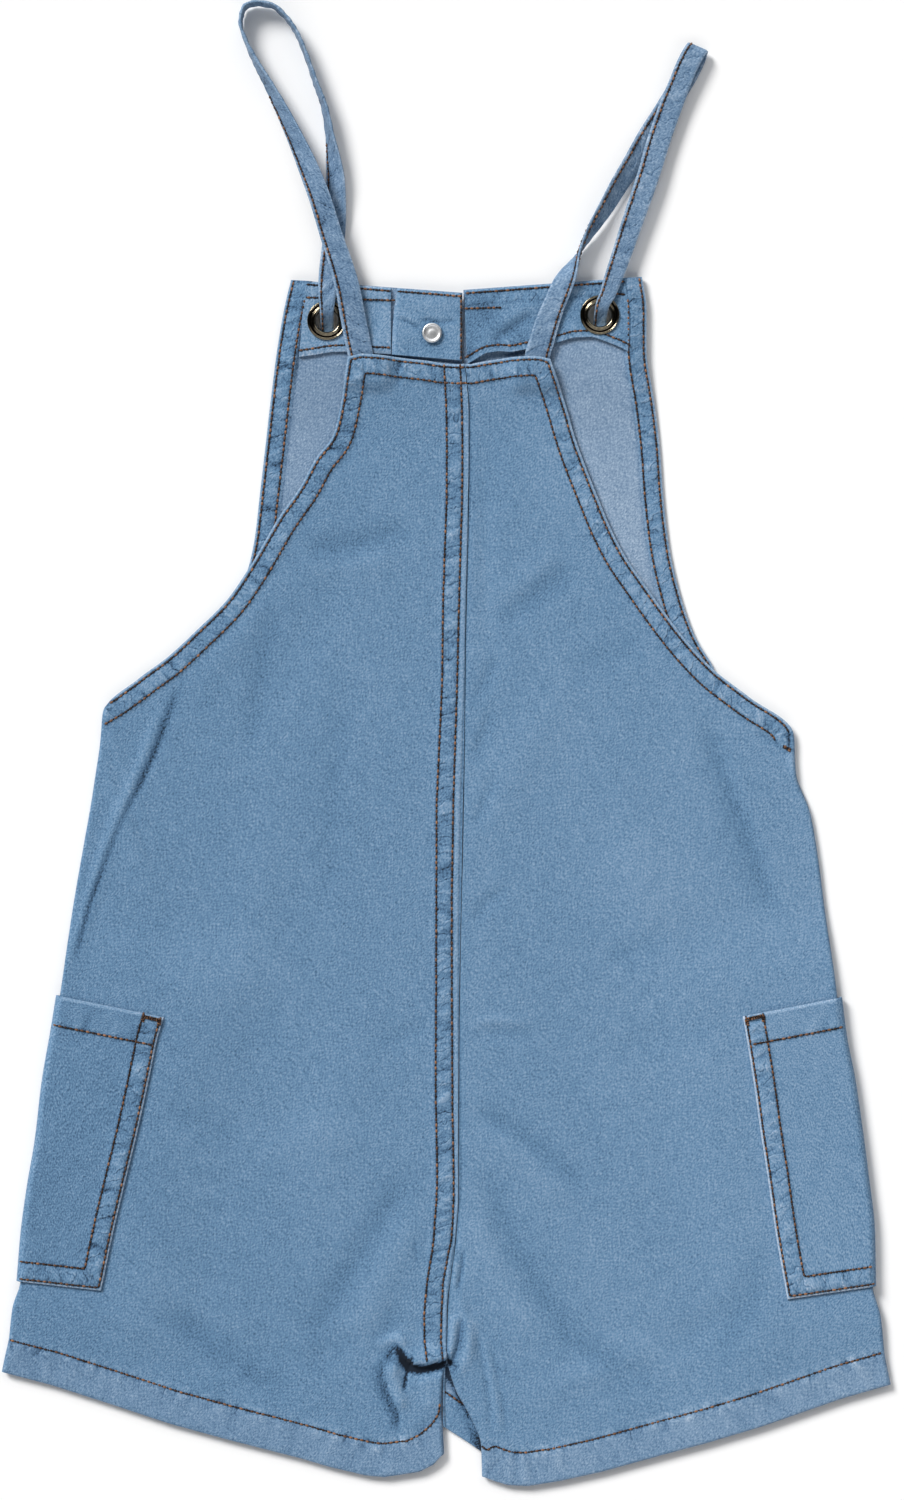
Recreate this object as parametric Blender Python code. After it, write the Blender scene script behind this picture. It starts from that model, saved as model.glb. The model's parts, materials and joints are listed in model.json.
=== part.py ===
"""Child's denim romper, laid flat on its front and seen from behind, as one solid per sewn piece.

Lengths in the tables are millimetres: x to the right, y up the garment, z up from the surface.
Each cloth piece is a wall through sections worked out from the tables below.
"""
import math

import bmesh
import bpy
import numpy as np

METRE = 0.001

# Cloth
WALL = 1.2
THIN_WALL = 1.0
SEAM_GAP = 0.3
EASE = 0.6
BAND_WIDTH = 7.6
BAND_RISE = 0.4
HEM_RISE = 0.4
STEP_WIDTH = 0.7
EDGE_CROWDING = 1.25
PLACKET_RISE = 0.35

# Lifts of the lower layer over what lies beneath it
BIB_LIFT = 2.25
BIB_LIFT_FROM_Y = 125.0
BIB_LIFT_FULL_Y = 165.0
BIB_EDGE_DROOP = 0.6
BIB_DROOP_WIDTH = 9.0
POCKET_LIFT = 1.5
POCKET_LIFT_FLAT = 10.0
POCKET_LIFT_END = 45.0

# How far in from the side a pocket's wall lies level, and the sections of its bend
POCKET_LEVEL = 6.0
POCKET_BEND_SECTIONS = 9

# Columns across a half panel between its edge bands
BACK_COLUMNS = 7
FRONT_COLUMNS = 7
FELLED_SEAM = 8.8
TURN_ANGLES = (90.0, 60.0, 30.0, 15.0)

# Lift of the back over each sewn strap end
STRAP_END_LIFT = 2.3
STRAP_END_HALF = 6.0
STRAP_END_RAMP = 9.0

# Straps
STRAP_SECTIONS = 54

# Eyelets: a barrel rolled over into a ring above and a washer below
EYELET_HOLE_RADIUS = 4.75
EYELET_BARREL_RADIUS = 5.5
EYELET_RING_RADIUS = 8.1
EYELET_SEGMENTS = 28
CLOTH_HOLE_RADIUS = 5.85

# Rivet back, its post, and the plain button under the bib
RIVET_RADIUS = 4.15
RIVET_POST_RADIUS = 1.4
RIVET_SEGMENTS = 20
BUTTON_RADIUS = 7.5
CLOTH_RIVET_RADIUS = 1.75

# Centres on the bib
LEFT_EYELET = (-50.1, 176.8)
RIGHT_EYELET = (64.4, 179.1)
RIVET = (-6.0, 171.5)

# Sections of a half panel from top to hem. Columns: seam x, seam y, outer edge x, outer edge y.
BACK_LEFT_SECTIONS = (
    (7.7, 158.7, -41.3, 161.3),
    (9.4, 137.7, -44.2, 142.8),
    (9.4, 116.7, -47.6, 128.9),
    (9.1, 102.5, -54.7, 119.3),
    (9.0, 87.8, -61.4, 107.1),
    (8.5, 70.1, -70.2, 94.5),
    (8.1, 53.3, -82.8, 73.1),
    (7.9, 36.5, -92.1, 59.6),
    (7.7, 17.6, -105.1, 46.6),
    (7.5, -3.4, -116.9, 35.7),
    (7.0, -26.5, -129.9, 26.0),
    (6.6, -49.6, -143.3, 13.8),
    (6.2, -68.5, -146.1, -5.5),
    (5.8, -87.4, -149.2, -25.2),
    (5.4, -108.4, -152.6, -44.5),
    (5.2, -129.4, -156.8, -68.9),
    (5.0, -150.4, -161.8, -103.3),
    (4.9, -171.4, -165.2, -125.2),
    (4.9, -192.4, -168.5, -148.7),
    (3.7, -210.0, -171.9, -171.4),
    (1.8, -224.3, -175.5, -194.5),
    (0.3, -238.6, -178.0, -213.4),
    (0.1, -256.2, -178.8, -226.4),
    (-1.6, -268.8, -182.2, -237.7),
    (-2.0, -280.2, -183.7, -250.3),
    (-1.4, -289.4, -185.3, -257.5),
    (-0.9, -299.1, -186.8, -264.6),
)
BACK_RIGHT_SECTIONS = (
    (8.0, 158.7, 43.6, 160.4),
    (9.7, 137.7, 50.3, 140.7),
    (9.7, 116.7, 54.1, 127.7),
    (9.5, 102.5, 58.7, 115.1),
    (9.3, 87.8, 63.7, 102.5),
    (8.9, 70.1, 69.2, 89.4),
    (8.5, 53.3, 75.1, 78.1),
    (8.2, 36.5, 83.5, 65.9),
    (8.0, 17.6, 91.5, 54.6),
    (7.8, -3.4, 100.3, 43.2),
    (7.4, -26.5, 112.0, 30.6),
    (7.0, -47.5, 127.6, 18.5),
    (6.5, -66.4, 145.2, 4.6),
    (6.1, -85.3, 147.3, -15.1),
    (5.8, -104.2, 152.8, -29.4),
    (5.5, -121.0, 156.1, -47.5),
    (5.4, -137.8, 159.1, -70.6),
    (5.3, -154.6, 162.9, -96.6),
    (5.2, -171.4, 165.8, -118.5),
    (5.1, -192.4, 170.0, -144.1),
    (4.0, -210.0, 172.9, -167.2),
    (2.1, -224.3, 175.9, -190.3),
    (0.7, -238.6, 178.4, -213.4),
    (0.5, -256.2, 178.9, -227.7),
    (4.1, -272.6, 182.4, -241.1),
    (8.3, -280.2, 183.4, -249.5),
    (14.6, -295.7, 184.1, -256.6),
    (15.0, -308.7, 186.8, -269.9),
)
FRONT_LEFT_SECTIONS = (
    (6.8, 188.6, -65.2, 194.0),
    (6.8, 175.1, -67.9, 182.7),
    (6.8, 161.3, -70.7, 166.7),
    (6.8, 143.6, -73.8, 143.6),
    (6.8, 122.6, -76.1, 123.5),
    (6.8, 101.6, -78.4, 103.7),
    (6.8, 82.7, -80.7, 84.4),
    (6.8, 63.8, -85.4, 66.8),
    (6.8, 42.8, -91.2, 57.9),
    (6.8, 21.8, -103.8, 44.9),
    (6.8, 0.8, -115.6, 34.0),
    (6.8, -22.3, -128.6, 24.3),
    (6.7, -47.5, -142.1, 12.6),
    (6.3, -68.5, -146.1, -5.5),
    (5.9, -87.4, -149.2, -25.2),
    (5.5, -108.4, -152.6, -44.5),
    (5.3, -129.4, -156.8, -68.9),
    (5.1, -150.4, -161.8, -103.3),
    (4.9, -171.4, -165.2, -125.2),
    (4.9, -192.4, -168.5, -148.7),
    (3.8, -210.0, -171.9, -171.4),
    (1.9, -224.3, -175.5, -194.5),
    (0.4, -238.6, -178.0, -213.4),
    (-0.5, -253.7, -178.8, -226.4),
    (-2.4, -265.9, -182.2, -237.7),
    (-2.8, -276.4, -183.7, -250.3),
    (-2.8, -286.5, -184.5, -257.1),
    (-2.8, -295.7, -185.5, -263.4),
)
FRONT_RIGHT_SECTIONS = (
    (7.2, 189.8, 82.2, 195.3),
    (7.2, 175.1, 84.1, 181.4),
    (7.2, 161.3, 84.1, 164.6),
    (7.2, 143.6, 87.3, 143.6),
    (7.2, 122.6, 89.6, 125.1),
    (7.2, 101.6, 91.2, 103.7),
    (7.2, 82.7, 93.6, 82.7),
    (7.2, 63.8, 98.6, 60.9),
    (7.2, 42.8, 104.9, 43.7),
    (7.2, 21.8, 111.6, 32.7),
    (7.2, -1.3, 114.1, 27.3),
    (7.1, -24.4, 126.7, 16.8),
    (7.0, -47.5, 142.7, 4.6),
    (6.5, -66.4, 147.3, -15.1),
    (6.1, -85.3, 152.8, -29.4),
    (5.9, -104.2, 156.1, -47.5),
    (5.7, -121.0, 159.1, -70.6),
    (5.4, -142.0, 162.9, -96.6),
    (5.3, -167.2, 165.8, -118.5),
    (5.2, -190.3, 170.0, -144.1),
    (4.0, -209.2, 172.9, -167.2),
    (2.1, -223.5, 175.9, -190.3),
    (0.7, -237.7, 178.4, -213.4),
    (0.1, -252.4, 178.9, -227.7),
    (-1.4, -263.8, 182.4, -241.1),
    (-1.6, -273.0, 183.5, -251.2),
    (-1.6, -280.6, 183.9, -258.7),
    (-1.4, -288.1, 185.5, -268.0),
)

# Droop of a section's middle below its straight line.
# Columns: share of the width from the seam, at the top, at the hem stitch, at the lower edge.
BACK_LEFT_DROOP = (
    (0, 0.0, 0.0, 0.0),
    (0.022, 0.2, 7.0, 5.3),
    (0.052, 0.4, 12.5, 9.2),
    (0.084, 0.4, 16.4, 11.3),
    (0.133, 0.4, 18.2, 14.3),
    (0.174, 0.4, 18.6, 15.1),
    (0.258, 0.0, 17.3, 14.3),
    (0.327, -0.4, 15.2, 12.9),
    (0.489, -0.8, 13.3, 10.8),
    (0.623, -1.3, 9.7, 8.6),
    (0.755, -1.7, 5.7, 5.0),
    (0.889, -1.7, 1.7, 1.6),
    (1, 0.0, 0.0, 0.0),
)
BACK_RIGHT_DROOP = (
    (0, 0.0, 0.0, 0.0),
    (0.03, 0.2, 3.8, 3.1),
    (0.06, 0.4, 5.6, 5.8),
    (0.11, 0.0, 6.8, 8.2),
    (0.19, -0.4, 8.4, 9.1),
    (0.29, -0.8, 9.4, 9.2),
    (0.43, -1.3, 8.7, 8.0),
    (0.55, -1.7, 7.9, 7.1),
    (0.68, -1.7, 3.9, 5.5),
    (0.78, -1.7, 1.3, 3.4),
    (0.88, -1.3, 0.0, 1.3),
    (1, 0.0, 0.0, 0.0),
)
FRONT_LEFT_DROOP = (
    (0, 0.0, 0.0, 0.0),
    (0.022, 0.0, 5.0, 5.8),
    (0.068, 0.0, 10.1, 11.8),
    (0.137, 0.0, 13.4, 15.5),
    (0.2, 0.0, 14.3, 16.4),
    (0.32, 0.0, 11.8, 13.7),
    (0.482, 0.0, 9.7, 11.3),
    (0.615, 0.0, 7.6, 9.0),
    (0.746, 0.0, 4.2, 5.2),
    (0.856, 0.0, 1.7, 1.9),
    (1, 0.0, 0.0, 0.0),
)
FRONT_RIGHT_DROOP = (
    (0, 0.0, 0.0, 0.0),
    (0.076, 0.0, 8.4, 10.5),
    (0.128, 0.0, 16.8, 20.2),
    (0.19, 0.0, 22.3, 26.0),
    (0.263, 0.0, 22.3, 25.9),
    (0.353, 0.0, 20.6, 23.9),
    (0.483, 0.0, 16.8, 19.7),
    (0.658, 0.0, 11.8, 14.1),
    (0.79, 0.0, 7.1, 8.8),
    (0.876, 0.0, 3.4, 4.2),
    (0.96, 0.0, 1.7, 2.1),
    (1, 0.0, 0.0, 0.0),
)

# Row of the sections where each of these starts
BACK_LEFT_ROWS = {"underarm": 11, "crotch": 22, "hem": 24}
BACK_RIGHT_ROWS = {"underarm": 12, "crotch": 23, "hem": 26}
FRONT_LEFT_ROWS = {"underarm": 12, "crotch": 23, "hem": 25}
FRONT_RIGHT_ROWS = {"underarm": 12, "crotch": 23, "hem": 25}

# Facings inside the bib and the placket. Columns as for the panels, from top to lower edge.
FACING_LEFT_SECTIONS = (
    (-23.2, 184.1, -58.1, 185.8),
    (-23.2, 176.4, -60.0, 176.4),
    (-23.2, 168.8, -61.2, 167.1),
    (-23.2, 162.7, -61.8, 161.5),
)
FACING_RIGHT_SECTIONS = (
    (7.7, 181.0, 75.1, 186.9),
    (7.9, 173.9, 76.3, 180.6),
    (8.3, 166.3, 77.0, 172.2),
    (9.1, 158.7, 76.3, 163.8),
)
PLACKET_SECTIONS = (
    (6.4, 187.9, -20.3, 187.3),
    (6.4, 178.9, -21.9, 180.6),
    (6.4, 169.7, -22.5, 173.0),
    (6.4, 160.0, -22.8, 162.5),
)
FACING_LEFT_DROOP = (
    (0, 0.0, 0.0, 0.0),
    (0.2, -0.2, -0.6, -0.6),
    (0.45, -0.4, -1.5, -1.7),
    (0.65, -0.4, -1.3, -1.7),
    (0.85, -0.2, -0.4, -0.6),
    (1, 0.0, 0.0, 0.0),
)
FACING_RIGHT_DROOP = (
    (0, 0.0, 0.0, 0.0),
    (0.11, 0.0, -2.1, -3.8),
    (0.19, 0.0, -2.5, -4.2),
    (0.27, 0.0, -1.7, -3.4),
    (0.36, 0.0, -2.1, -4.2),
    (0.55, -0.8, -3.4, -5.9),
    (0.66, -1.3, -4.6, -7.6),
    (0.78, -1.3, -4.2, -7.3),
    (0.86, -0.8, -2.9, -5.0),
    (0.94, -0.4, -1.3, -2.5),
    (1, 0.0, 0.0, 0.0),
)

# Pocket sections from mouth to foot. Columns: inner edge x, y, then outer edge x, y.
POCKET_LEFT_SECTIONS = (
    (-118.5, -115.5, -163.9, -106.3),
    (-121.1, -124.3, -166.4, -121.8),
    (-124.8, -142.0, -170.0, -142.8),
    (-129.5, -163.4, -172.9, -167.2),
    (-134.5, -184.0, -176.3, -187.3),
    (-139.5, -205.0, -178.8, -205.8),
    (-144.8, -230.2, -180.5, -226.2),
)
POCKET_RIGHT_SECTIONS = (
    (124.4, -115.1, 166.2, -107.1),
    (126.5, -127.7, 168.3, -123.5),
    (129.3, -145.3, 171.7, -140.7),
    (131.8, -163.4, 174.8, -161.7),
    (134.7, -181.9, 177.6, -183.1),
    (138.1, -205.8, 180.1, -205.8),
    (143.1, -233.8, 180.5, -228.3),
)

# Strap stations from the sewn end to the tail under the bib.
# Columns: x, y, z, width, bearing of the stitched edge in degrees, lift of that edge in degrees.
STRAP_LEFT_STATIONS = (
    (-34.5, 153.7, 4.7, 10.5, 189, 0),
    (-35.8, 161.7, 5.35, 10.5, 191, 0),
    (-37.1, 167.6, 5.9, 10.7, 191, 0),
    (-39.2, 178.5, 6.7, 10.5, 191, 0),
    (-41.3, 189.8, 7.8, 10.3, 193, 0),
    (-44.2, 200.3, 7.4, 9.9, 197, 2),
    (-48.0, 211.7, 7.4, 9.4, 198, 5),
    (-53.0, 228.0, 7.6, 9.2, 198, 10),
    (-56.8, 238.1, 7.2, 9.2, 202, 21),
    (-61.6, 249.5, 6.3, 9.2, 204, 37),
    (-67.7, 262.5, 5.5, 9.2, 206, 50),
    (-74.4, 275.5, 5.2, 9.2, 208, 62),
    (-80.3, 286.0, 5.3, 9.2, 208, 72),
    (-83.9, 293.6, 5.4, 9.2, 201, 83),
    (-86.3, 301.5, 5.4, 9.2, 182, 96),
    (-84.5, 308.3, 5.4, 9.2, 141, 102),
    (-79.5, 309.9, 5.4, 9.2, 94, 103),
    (-73.6, 309.1, 5.3, 9.2, 65, 104),
    (-67.7, 304.5, 5.3, 9.2, 43, 105),
    (-62.7, 297.3, 5.2, 9.2, 28, 108),
    (-58.5, 287.3, 5.0, 9.2, 21, 112),
    (-54.7, 276.3, 4.9, 9.2, 19, 115),
    (-51.1, 266.3, 4.5, 9.2, 15, 121),
    (-48.8, 254.1, 4.1, 9.2, 10, 128),
    (-47.4, 244.4, 3.4, 9.2, 7, 140),
    (-46.5, 235.2, 2.7, 9.2, 3, 152),
    (-46.5, 225.5, 2.0, 9.2, -1, 164),
    (-46.9, 215.9, 1.9, 9.2, -5, 173),
    (-48.4, 201.6, 3.5, 9.2, -6, 178),
    (-49.5, 191.9, 5.6, 8.4, -6, 180),
    (-50.0, 185.6, 6.55, 6.9, -3, 180),
    (-50.0, 182.3, 6.6, 6.1, -1, 180),
    (-50.1, 179.9, 5.9, 5.7, -1, 180),
    (-50.1, 178.1, 4.3, 5.5, 0, 180),
    (-50.1, 176.0, 2.4, 5.5, 0, 180),
    (-50.1, 174.1, 1.15, 5.5, 0, 180),
    (-50.1, 171.8, 0.6, 5.7, 0, 180),
    (-50.1, 168.4, 0.5, 6.3, 0, 180),
    (-50.1, 163.8, 0.5, 8.4, 0, 180),
    (-50.1, 149.9, 0.5, 9.2, 0, 180),
)
STRAP_RIGHT_STATIONS = (
    (37.9, 153.3, 4.7, 10.7, -3, 0),
    (38.3, 161.7, 5.1, 10.7, -9, 0),
    (40.2, 168.4, 5.9, 10.5, -17, 0),
    (43.2, 178.1, 5.9, 9.9, -19, 0),
    (46.1, 185.2, 6.0, 9.2, -23, 4),
    (48.6, 191.1, 6.2, 9.2, -25, 14),
    (51.1, 196.1, 6.6, 9.2, -27, 36),
    (53.7, 201.2, 6.0, 9.2, -27, 64),
    (56.2, 206.2, 5.2, 9.2, -29, 91),
    (61.2, 215.0, 5.1, 9.2, -31, 118),
    (66.7, 223.8, 4.5, 9.2, -31, 133),
    (72.6, 233.9, 3.8, 9.2, -31, 144),
    (78.4, 243.2, 3.0, 9.2, -31, 154),
    (84.7, 254.1, 2.0, 9.2, -31, 164),
    (91.5, 264.6, 1.2, 9.2, -32, 171),
    (96.9, 273.4, 1.1, 9.2, -31, 175),
    (102.0, 282.2, 0.85, 9.2, -28, 177),
    (104.7, 288.1, 1.05, 9.2, -24, 178),
    (105.8, 291.8, 2.8, 9.2, -24, 179),
    (104.4, 290.0, 4.8, 9.2, -24, 180),
    (101.3, 284.3, 5.2, 9.2, -25, 180),
    (97.8, 275.9, 4.8, 9.2, -22, 180),
    (94.0, 266.3, 4.4, 9.7, -20, 180),
    (88.5, 250.3, 4.5, 9.7, -18, 180),
    (85.2, 239.0, 4.9, 9.4, -17, 180),
    (81.8, 228.9, 5.1, 9.2, -19, 180),
    (77.6, 216.7, 5.1, 8.8, -19, 180),
    (73.4, 204.1, 5.3, 8.2, -19, 178),
    (70.0, 194.4, 6.2, 7.6, -20, 176),
    (67.3, 186.9, 6.75, 6.5, -22, 177),
    (65.8, 184.1, 6.65, 5.9, -23, 180),
    (65.2, 182.0, 5.9, 5.7, -13, 180),
    (64.9, 180.2, 4.3, 5.5, -7, 180),
    (64.7, 178.1, 2.3, 5.5, -4, 180),
    (64.6, 176.2, 1.1, 5.5, -1, 180),
    (64.6, 173.9, 0.6, 5.7, 0, 180),
    (64.6, 170.5, 0.5, 6.3, 0, 180),
    (64.6, 165.5, 0.5, 8.4, 0, 180),
    (64.6, 151.6, 0.5, 9.2, 0, 180),
)

# Soft folds of the back. Columns: x, y, bearing in degrees, half length, half width, rise.
BACK_FOLDS = (
    (-136.2, -24.4, 109, 63.0, 10.9, 1.0),
    (-132.0, -29.4, 112, 58.8, 3.8, -0.5),
    (16.7, 76.4, 91, 63.0, 6.7, -0.45),
    (31.0, -7.6, 60, 63.0, 14.3, 0.5),
    (-61.4, 42.8, 62, 63.0, 15.1, -0.45),
    (-88.7, 42.8, 50, 37.8, 10.1, 0.5),
    (-80.3, -66.4, 80, 71.4, 16.8, 0.5),
    (81.4, -66.4, 105, 71.4, 19.3, 0.5),
    (47.8, -129.4, 115, 71.4, 16.8, -0.4),
    (-48.8, -158.8, 75, 71.4, 18.5, 0.45),
    (106.6, -247.0, 30, 50.4, 10.9, -0.45),
    (64.6, -263.8, 20, 46.2, 9.2, 0.5),
    (-86.6, -251.2, -22, 50.4, 10.9, -0.45),
    (-124.4, -247.0, -30, 37.8, 9.2, 0.4),
    (-20.3, -257.9, 70, 13.4, 5.0, 1.2),
    (-8.5, -263.8, 0, 10.9, 3.8, -0.6),
    (8.3, -247.0, 100, 25.2, 4.2, 0.9),
    (4.5, -213.4, 98, 25.2, 3.4, -0.4),
)


def clear_scene():
    for thing in list(bpy.data.objects):
        bpy.data.objects.remove(thing, do_unlink=True)


def ramp(value, low, high):
    """0 below low, 1 above high, and a smooth rise between."""
    share = np.clip((np.asarray(value, float) - low) / (high - low), 0.0, 1.0)
    return share * share * (3.0 - 2.0 * share)


def along_table(rows, places):
    """The columns of a table at fractional rows, by cubic pieces that never overshoot."""
    rows = np.asarray(rows, float)
    places = np.asarray(places, float)
    steps = np.diff(rows, axis=0)
    slopes = np.zeros_like(rows)
    same_way = steps[:-1] * steps[1:] > 0
    total = np.where(same_way, steps[:-1] + steps[1:], 1.0)
    slopes[1:-1] = np.where(same_way, 2.0 * steps[:-1] * steps[1:] / total, 0.0)
    slopes[0], slopes[-1] = steps[0], steps[-1]
    index = np.clip(np.floor(places).astype(int), 0, len(rows) - 2)
    share = (places - index)[..., None]
    start, end = rows[index], rows[index + 1]
    rise = 3.0 * share**2 - 2.0 * share**3
    lead_in = share * (1.0 - share) ** 2
    lead_out = share**2 * (share - 1.0)
    return start + (end - start) * rise + slopes[index] * lead_in + slopes[index + 1] * lead_out


def droop_at(table, share, top, hem, edge):
    """Droop of the points of one section, with the table's three columns weighted."""
    table = np.asarray(table, float)
    weights = (top, hem, edge)
    return sum(
        weight * np.interp(share, table[:, 0], table[:, column + 1])
        for column, weight in enumerate(weights)
    )


def side_of(x, y, start, end, inside):
    """Distance from the line through start and end, negative on the side that holds inside."""
    run = np.subtract(end, start)
    normal = np.array([-run[1], run[0]]) / np.hypot(*run)
    distance = (x - start[0]) * normal[0] + (y - start[1]) * normal[1]
    inner = (inside[0] - start[0]) * normal[0] + (inside[1] - start[1]) * normal[1]
    return distance * (-1.0 if inner > 0 else 1.0)


def pocket_lift(x, y):
    """Lift over the part of each pocket that goes round the side and under the front."""
    lift = np.zeros_like(x)
    for sections in (POCKET_LEFT_SECTIONS, POCKET_RIGHT_SECTIONS):
        mouth_in, mouth_out = sections[0][:2], sections[0][2:]
        foot_in, foot_out = sections[-1][:2], sections[-1][2:]
        middle = np.mean([mouth_in, mouth_out, foot_in, foot_out], axis=0)
        share = np.ones_like(x)
        for start, end in ((mouth_in, foot_in), (mouth_in, mouth_out), (foot_in, foot_out)):
            away = side_of(x, y, start, end, middle)
            share = share * (1.0 - ramp(away, POCKET_LIFT_FLAT, POCKET_LIFT_END))
        lift = np.maximum(lift, POCKET_LIFT * share)
    return lift


def bib_lift(y, from_edge):
    """Lift of the bib over the strap tails, the eyelets' washers and the button."""
    rise = BIB_LIFT * ramp(y, BIB_LIFT_FROM_Y, BIB_LIFT_FULL_Y)
    return rise * (1.0 - BIB_EDGE_DROOP * (1.0 - ramp(from_edge, 0.0, BIB_DROOP_WIDTH)))


def front_middle(x, y, from_edge):
    """Height of the middle of the front's wall."""
    return WALL / 2 + bib_lift(y, from_edge) + pocket_lift(x, y)


def strap_end_lift(x, y):
    """Lift of the back over the two strap ends sewn inside its top corners."""
    lift = np.zeros_like(x)
    for stations in (STRAP_LEFT_STATIONS, STRAP_RIGHT_STATIONS):
        end_x, end_y = stations[0][:2]
        across = 1.0 - ramp(abs(x - end_x), STRAP_END_HALF, STRAP_END_HALF + STRAP_END_RAMP)
        down = ramp(y, end_y - STRAP_END_RAMP, end_y - 1.5)
        lift = np.maximum(lift, STRAP_END_LIFT * across * down)
    return lift


def folds(x, y, table):
    """Sum of soft ridges and troughs, each a rounded bump along its own bearing."""
    height = np.zeros_like(x)
    for fold_x, fold_y, bearing, half_length, half_width, rise in table:
        turn = math.radians(bearing)
        along = (x - fold_x) * math.cos(turn) + (y - fold_y) * math.sin(turn)
        across = -(x - fold_x) * math.sin(turn) + (y - fold_y) * math.cos(turn)
        along = np.clip(along / half_length, -1.0, 1.0)
        across = np.clip(across / half_width, -1.0, 1.0)
        height += rise * np.cos(along * math.pi / 2) ** 2 * np.cos(across * math.pi / 2) ** 2
    return height


def back_middle(x, y, from_edge):
    """Height of the middle of the back's wall: the front, a gap, and the soft folds."""
    far = np.full_like(x, BIB_DROOP_WIDTH)
    lying = front_middle(x, y, far) + WALL + SEAM_GAP + EASE
    shaped = ramp(from_edge, 0.0, 2.0 * BAND_WIDTH) * folds(x, y, BACK_FOLDS)
    return lying + strap_end_lift(x, y) + shaped


def half_panel(sections, rows, droop, height, turn, ridge_width, middle, top_rows):
    """Middle surface and thickness of a half panel as a grid, one row for each section.

    Each section runs from the seam to the outer edge. Below the underarm the outer edge turns
    through a quarter circle towards the other layer (turn is -1 for down and 1 for up), and below
    the crotch the inner edge does the same. The band along the free edges, the hem and the felled
    seam are thicker by their turnings.
    """
    room = (WALL + SEAM_GAP + EASE) / 2
    last, hem = len(sections) - 1, rows["hem"]
    places = [0.0, *top_rows, *range(1, hem), hem - 0.06, hem + 0.06, *range(hem + 1, last + 1)]
    angles = np.radians(TURN_ANGLES)
    inset, fall = room * (1.0 - np.cos(angles)), room * (1.0 - np.sin(angles))
    ridge = [ridge_width, ridge_width + STEP_WIDTH] if ridge_width else []
    band = np.array([BAND_WIDTH + STEP_WIDTH, BAND_WIDTH, BAND_WIDTH / 2])
    grid, thick = [], []
    for place in places:
        seam_x, seam_y, edge_x, edge_y = along_table(sections, place)
        side_turn = float(ramp(place, rows["underarm"] - 0.2, rows["underarm"] + 0.8))
        leg_turn = float(ramp(place, rows["crotch"], rows["crotch"] + 1.0))
        seam, edge = np.array([seam_x, seam_y]), np.array([edge_x, edge_y])
        out = (edge - seam) / np.linalg.norm(edge - seam)
        seam = seam + out * leg_turn * WALL / 2
        edge = edge - out * side_turn * WALL / 2
        length = float(np.linalg.norm(edge - seam))
        near = [*inset[::-1], *ridge]
        shares = np.linspace(1.0, 0.0, middle + 2)[1:-1] ** EDGE_CROWDING
        wide = length - band[0] - (length - band[0] - near[-1]) * shares
        along = np.array([*near, *wide, *(length - band), *(length - inset)])
        line = seam[None, :] + out[None, :] * along[:, None]
        past_hem = max(0.0, (place - hem) / (last - hem))
        weights = (1.0 - float(ramp(place, 0.0, 2.0)), float(ramp(place, hem - 4.0, hem)) - past_hem, past_hem)
        line[:, 1] -= droop_at(droop, along / length, *weights)
        x, y, from_edge = line[:, 0], line[:, 1], length - along
        z = height(x, y, from_edge)
        z[-4:] += turn * side_turn * fall
        z[:4] += turn * leg_turn * fall[::-1]
        in_band = (from_edge < BAND_WIDTH + STEP_WIDTH / 2) * (1.0 - side_turn)
        in_ridge = bool(ridge) * (along < ridge_width + STEP_WIDTH / 2) * (1.0 - leg_turn)
        at_end = float(place > hem or place < np.mean(top_rows))
        extra = np.maximum(BAND_RISE * np.maximum(in_band, in_ridge), HEM_RISE * at_end)
        grid.append(np.column_stack([x, y, z + extra / 2]))
        thick.append(WALL + extra)
    return np.array(grid), np.array(thick)


def small_panel(sections, droop, columns, step, height, thickness):
    """A facing or the placket: the same kind of grid, lying at a given height."""
    grid = []
    for place in np.arange(0.0, len(sections) - 1 + step / 2, step):
        seam_x, seam_y, edge_x, edge_y = along_table(sections, place)
        share = np.linspace(0.0, 1.0, columns)
        x = seam_x + (edge_x - seam_x) * share
        y = seam_y + (edge_y - seam_y) * share
        if droop:
            part = place / (len(sections) - 1)
            y = y - droop_at(droop, share, 0.0, part * (1.0 - part) * 2.0, part**2)
        grid.append(np.column_stack([x, y, height(x, y)]))
    grid = np.array(grid)
    return grid, np.full(grid.shape[:2], thickness)


def pocket_panel(sections, columns, step):
    """A patch pocket: over the back, round the side, and under the front by the same width."""
    grid = []
    for place in np.arange(0.0, len(sections) - 1 + step / 2, step):
        inner_x, inner_y, outer_x, outer_y = along_table(sections, place)
        inner, outer = np.array([inner_x, inner_y]), np.array([outer_x, outer_y])
        out = (outer - inner) / np.linalg.norm(outer - inner)
        outer = outer - out * WALL / 2
        length = float(np.linalg.norm(outer - inner))
        under = WALL / 2
        near_side = np.array([outer - out * POCKET_LEVEL])
        far = np.full(1, BIB_DROOP_WIDTH)
        top = float(back_middle(near_side[:, 0], near_side[:, 1], far)[0]) + WALL + SEAM_GAP
        room = (top - under) / 2
        flat = np.linspace(0.0, length - room, columns)
        line = inner[None, :] + out[None, :] * flat[:, None]
        x, y = line[:, 0], line[:, 1]
        over = back_middle(x, y, np.full_like(x, 3.0 * BAND_WIDTH)) + WALL + SEAM_GAP
        over = np.where(length - flat < POCKET_LEVEL, top, over)
        angles = np.radians(np.linspace(90.0, -90.0, POCKET_BEND_SECTIONS))[1:-1]
        turned = outer[None, :] - out[None, :] * (room * (1.0 - np.cos(angles)))[:, None]
        bend = np.column_stack([turned, under + room + room * np.sin(angles)])
        below = np.column_stack([line[::-1], np.full(columns, under)])
        grid.append(np.vstack([np.column_stack([x, y, over]), bend, below]))
    grid = np.array(grid)
    return grid, np.full(grid.shape[:2], WALL)


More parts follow.
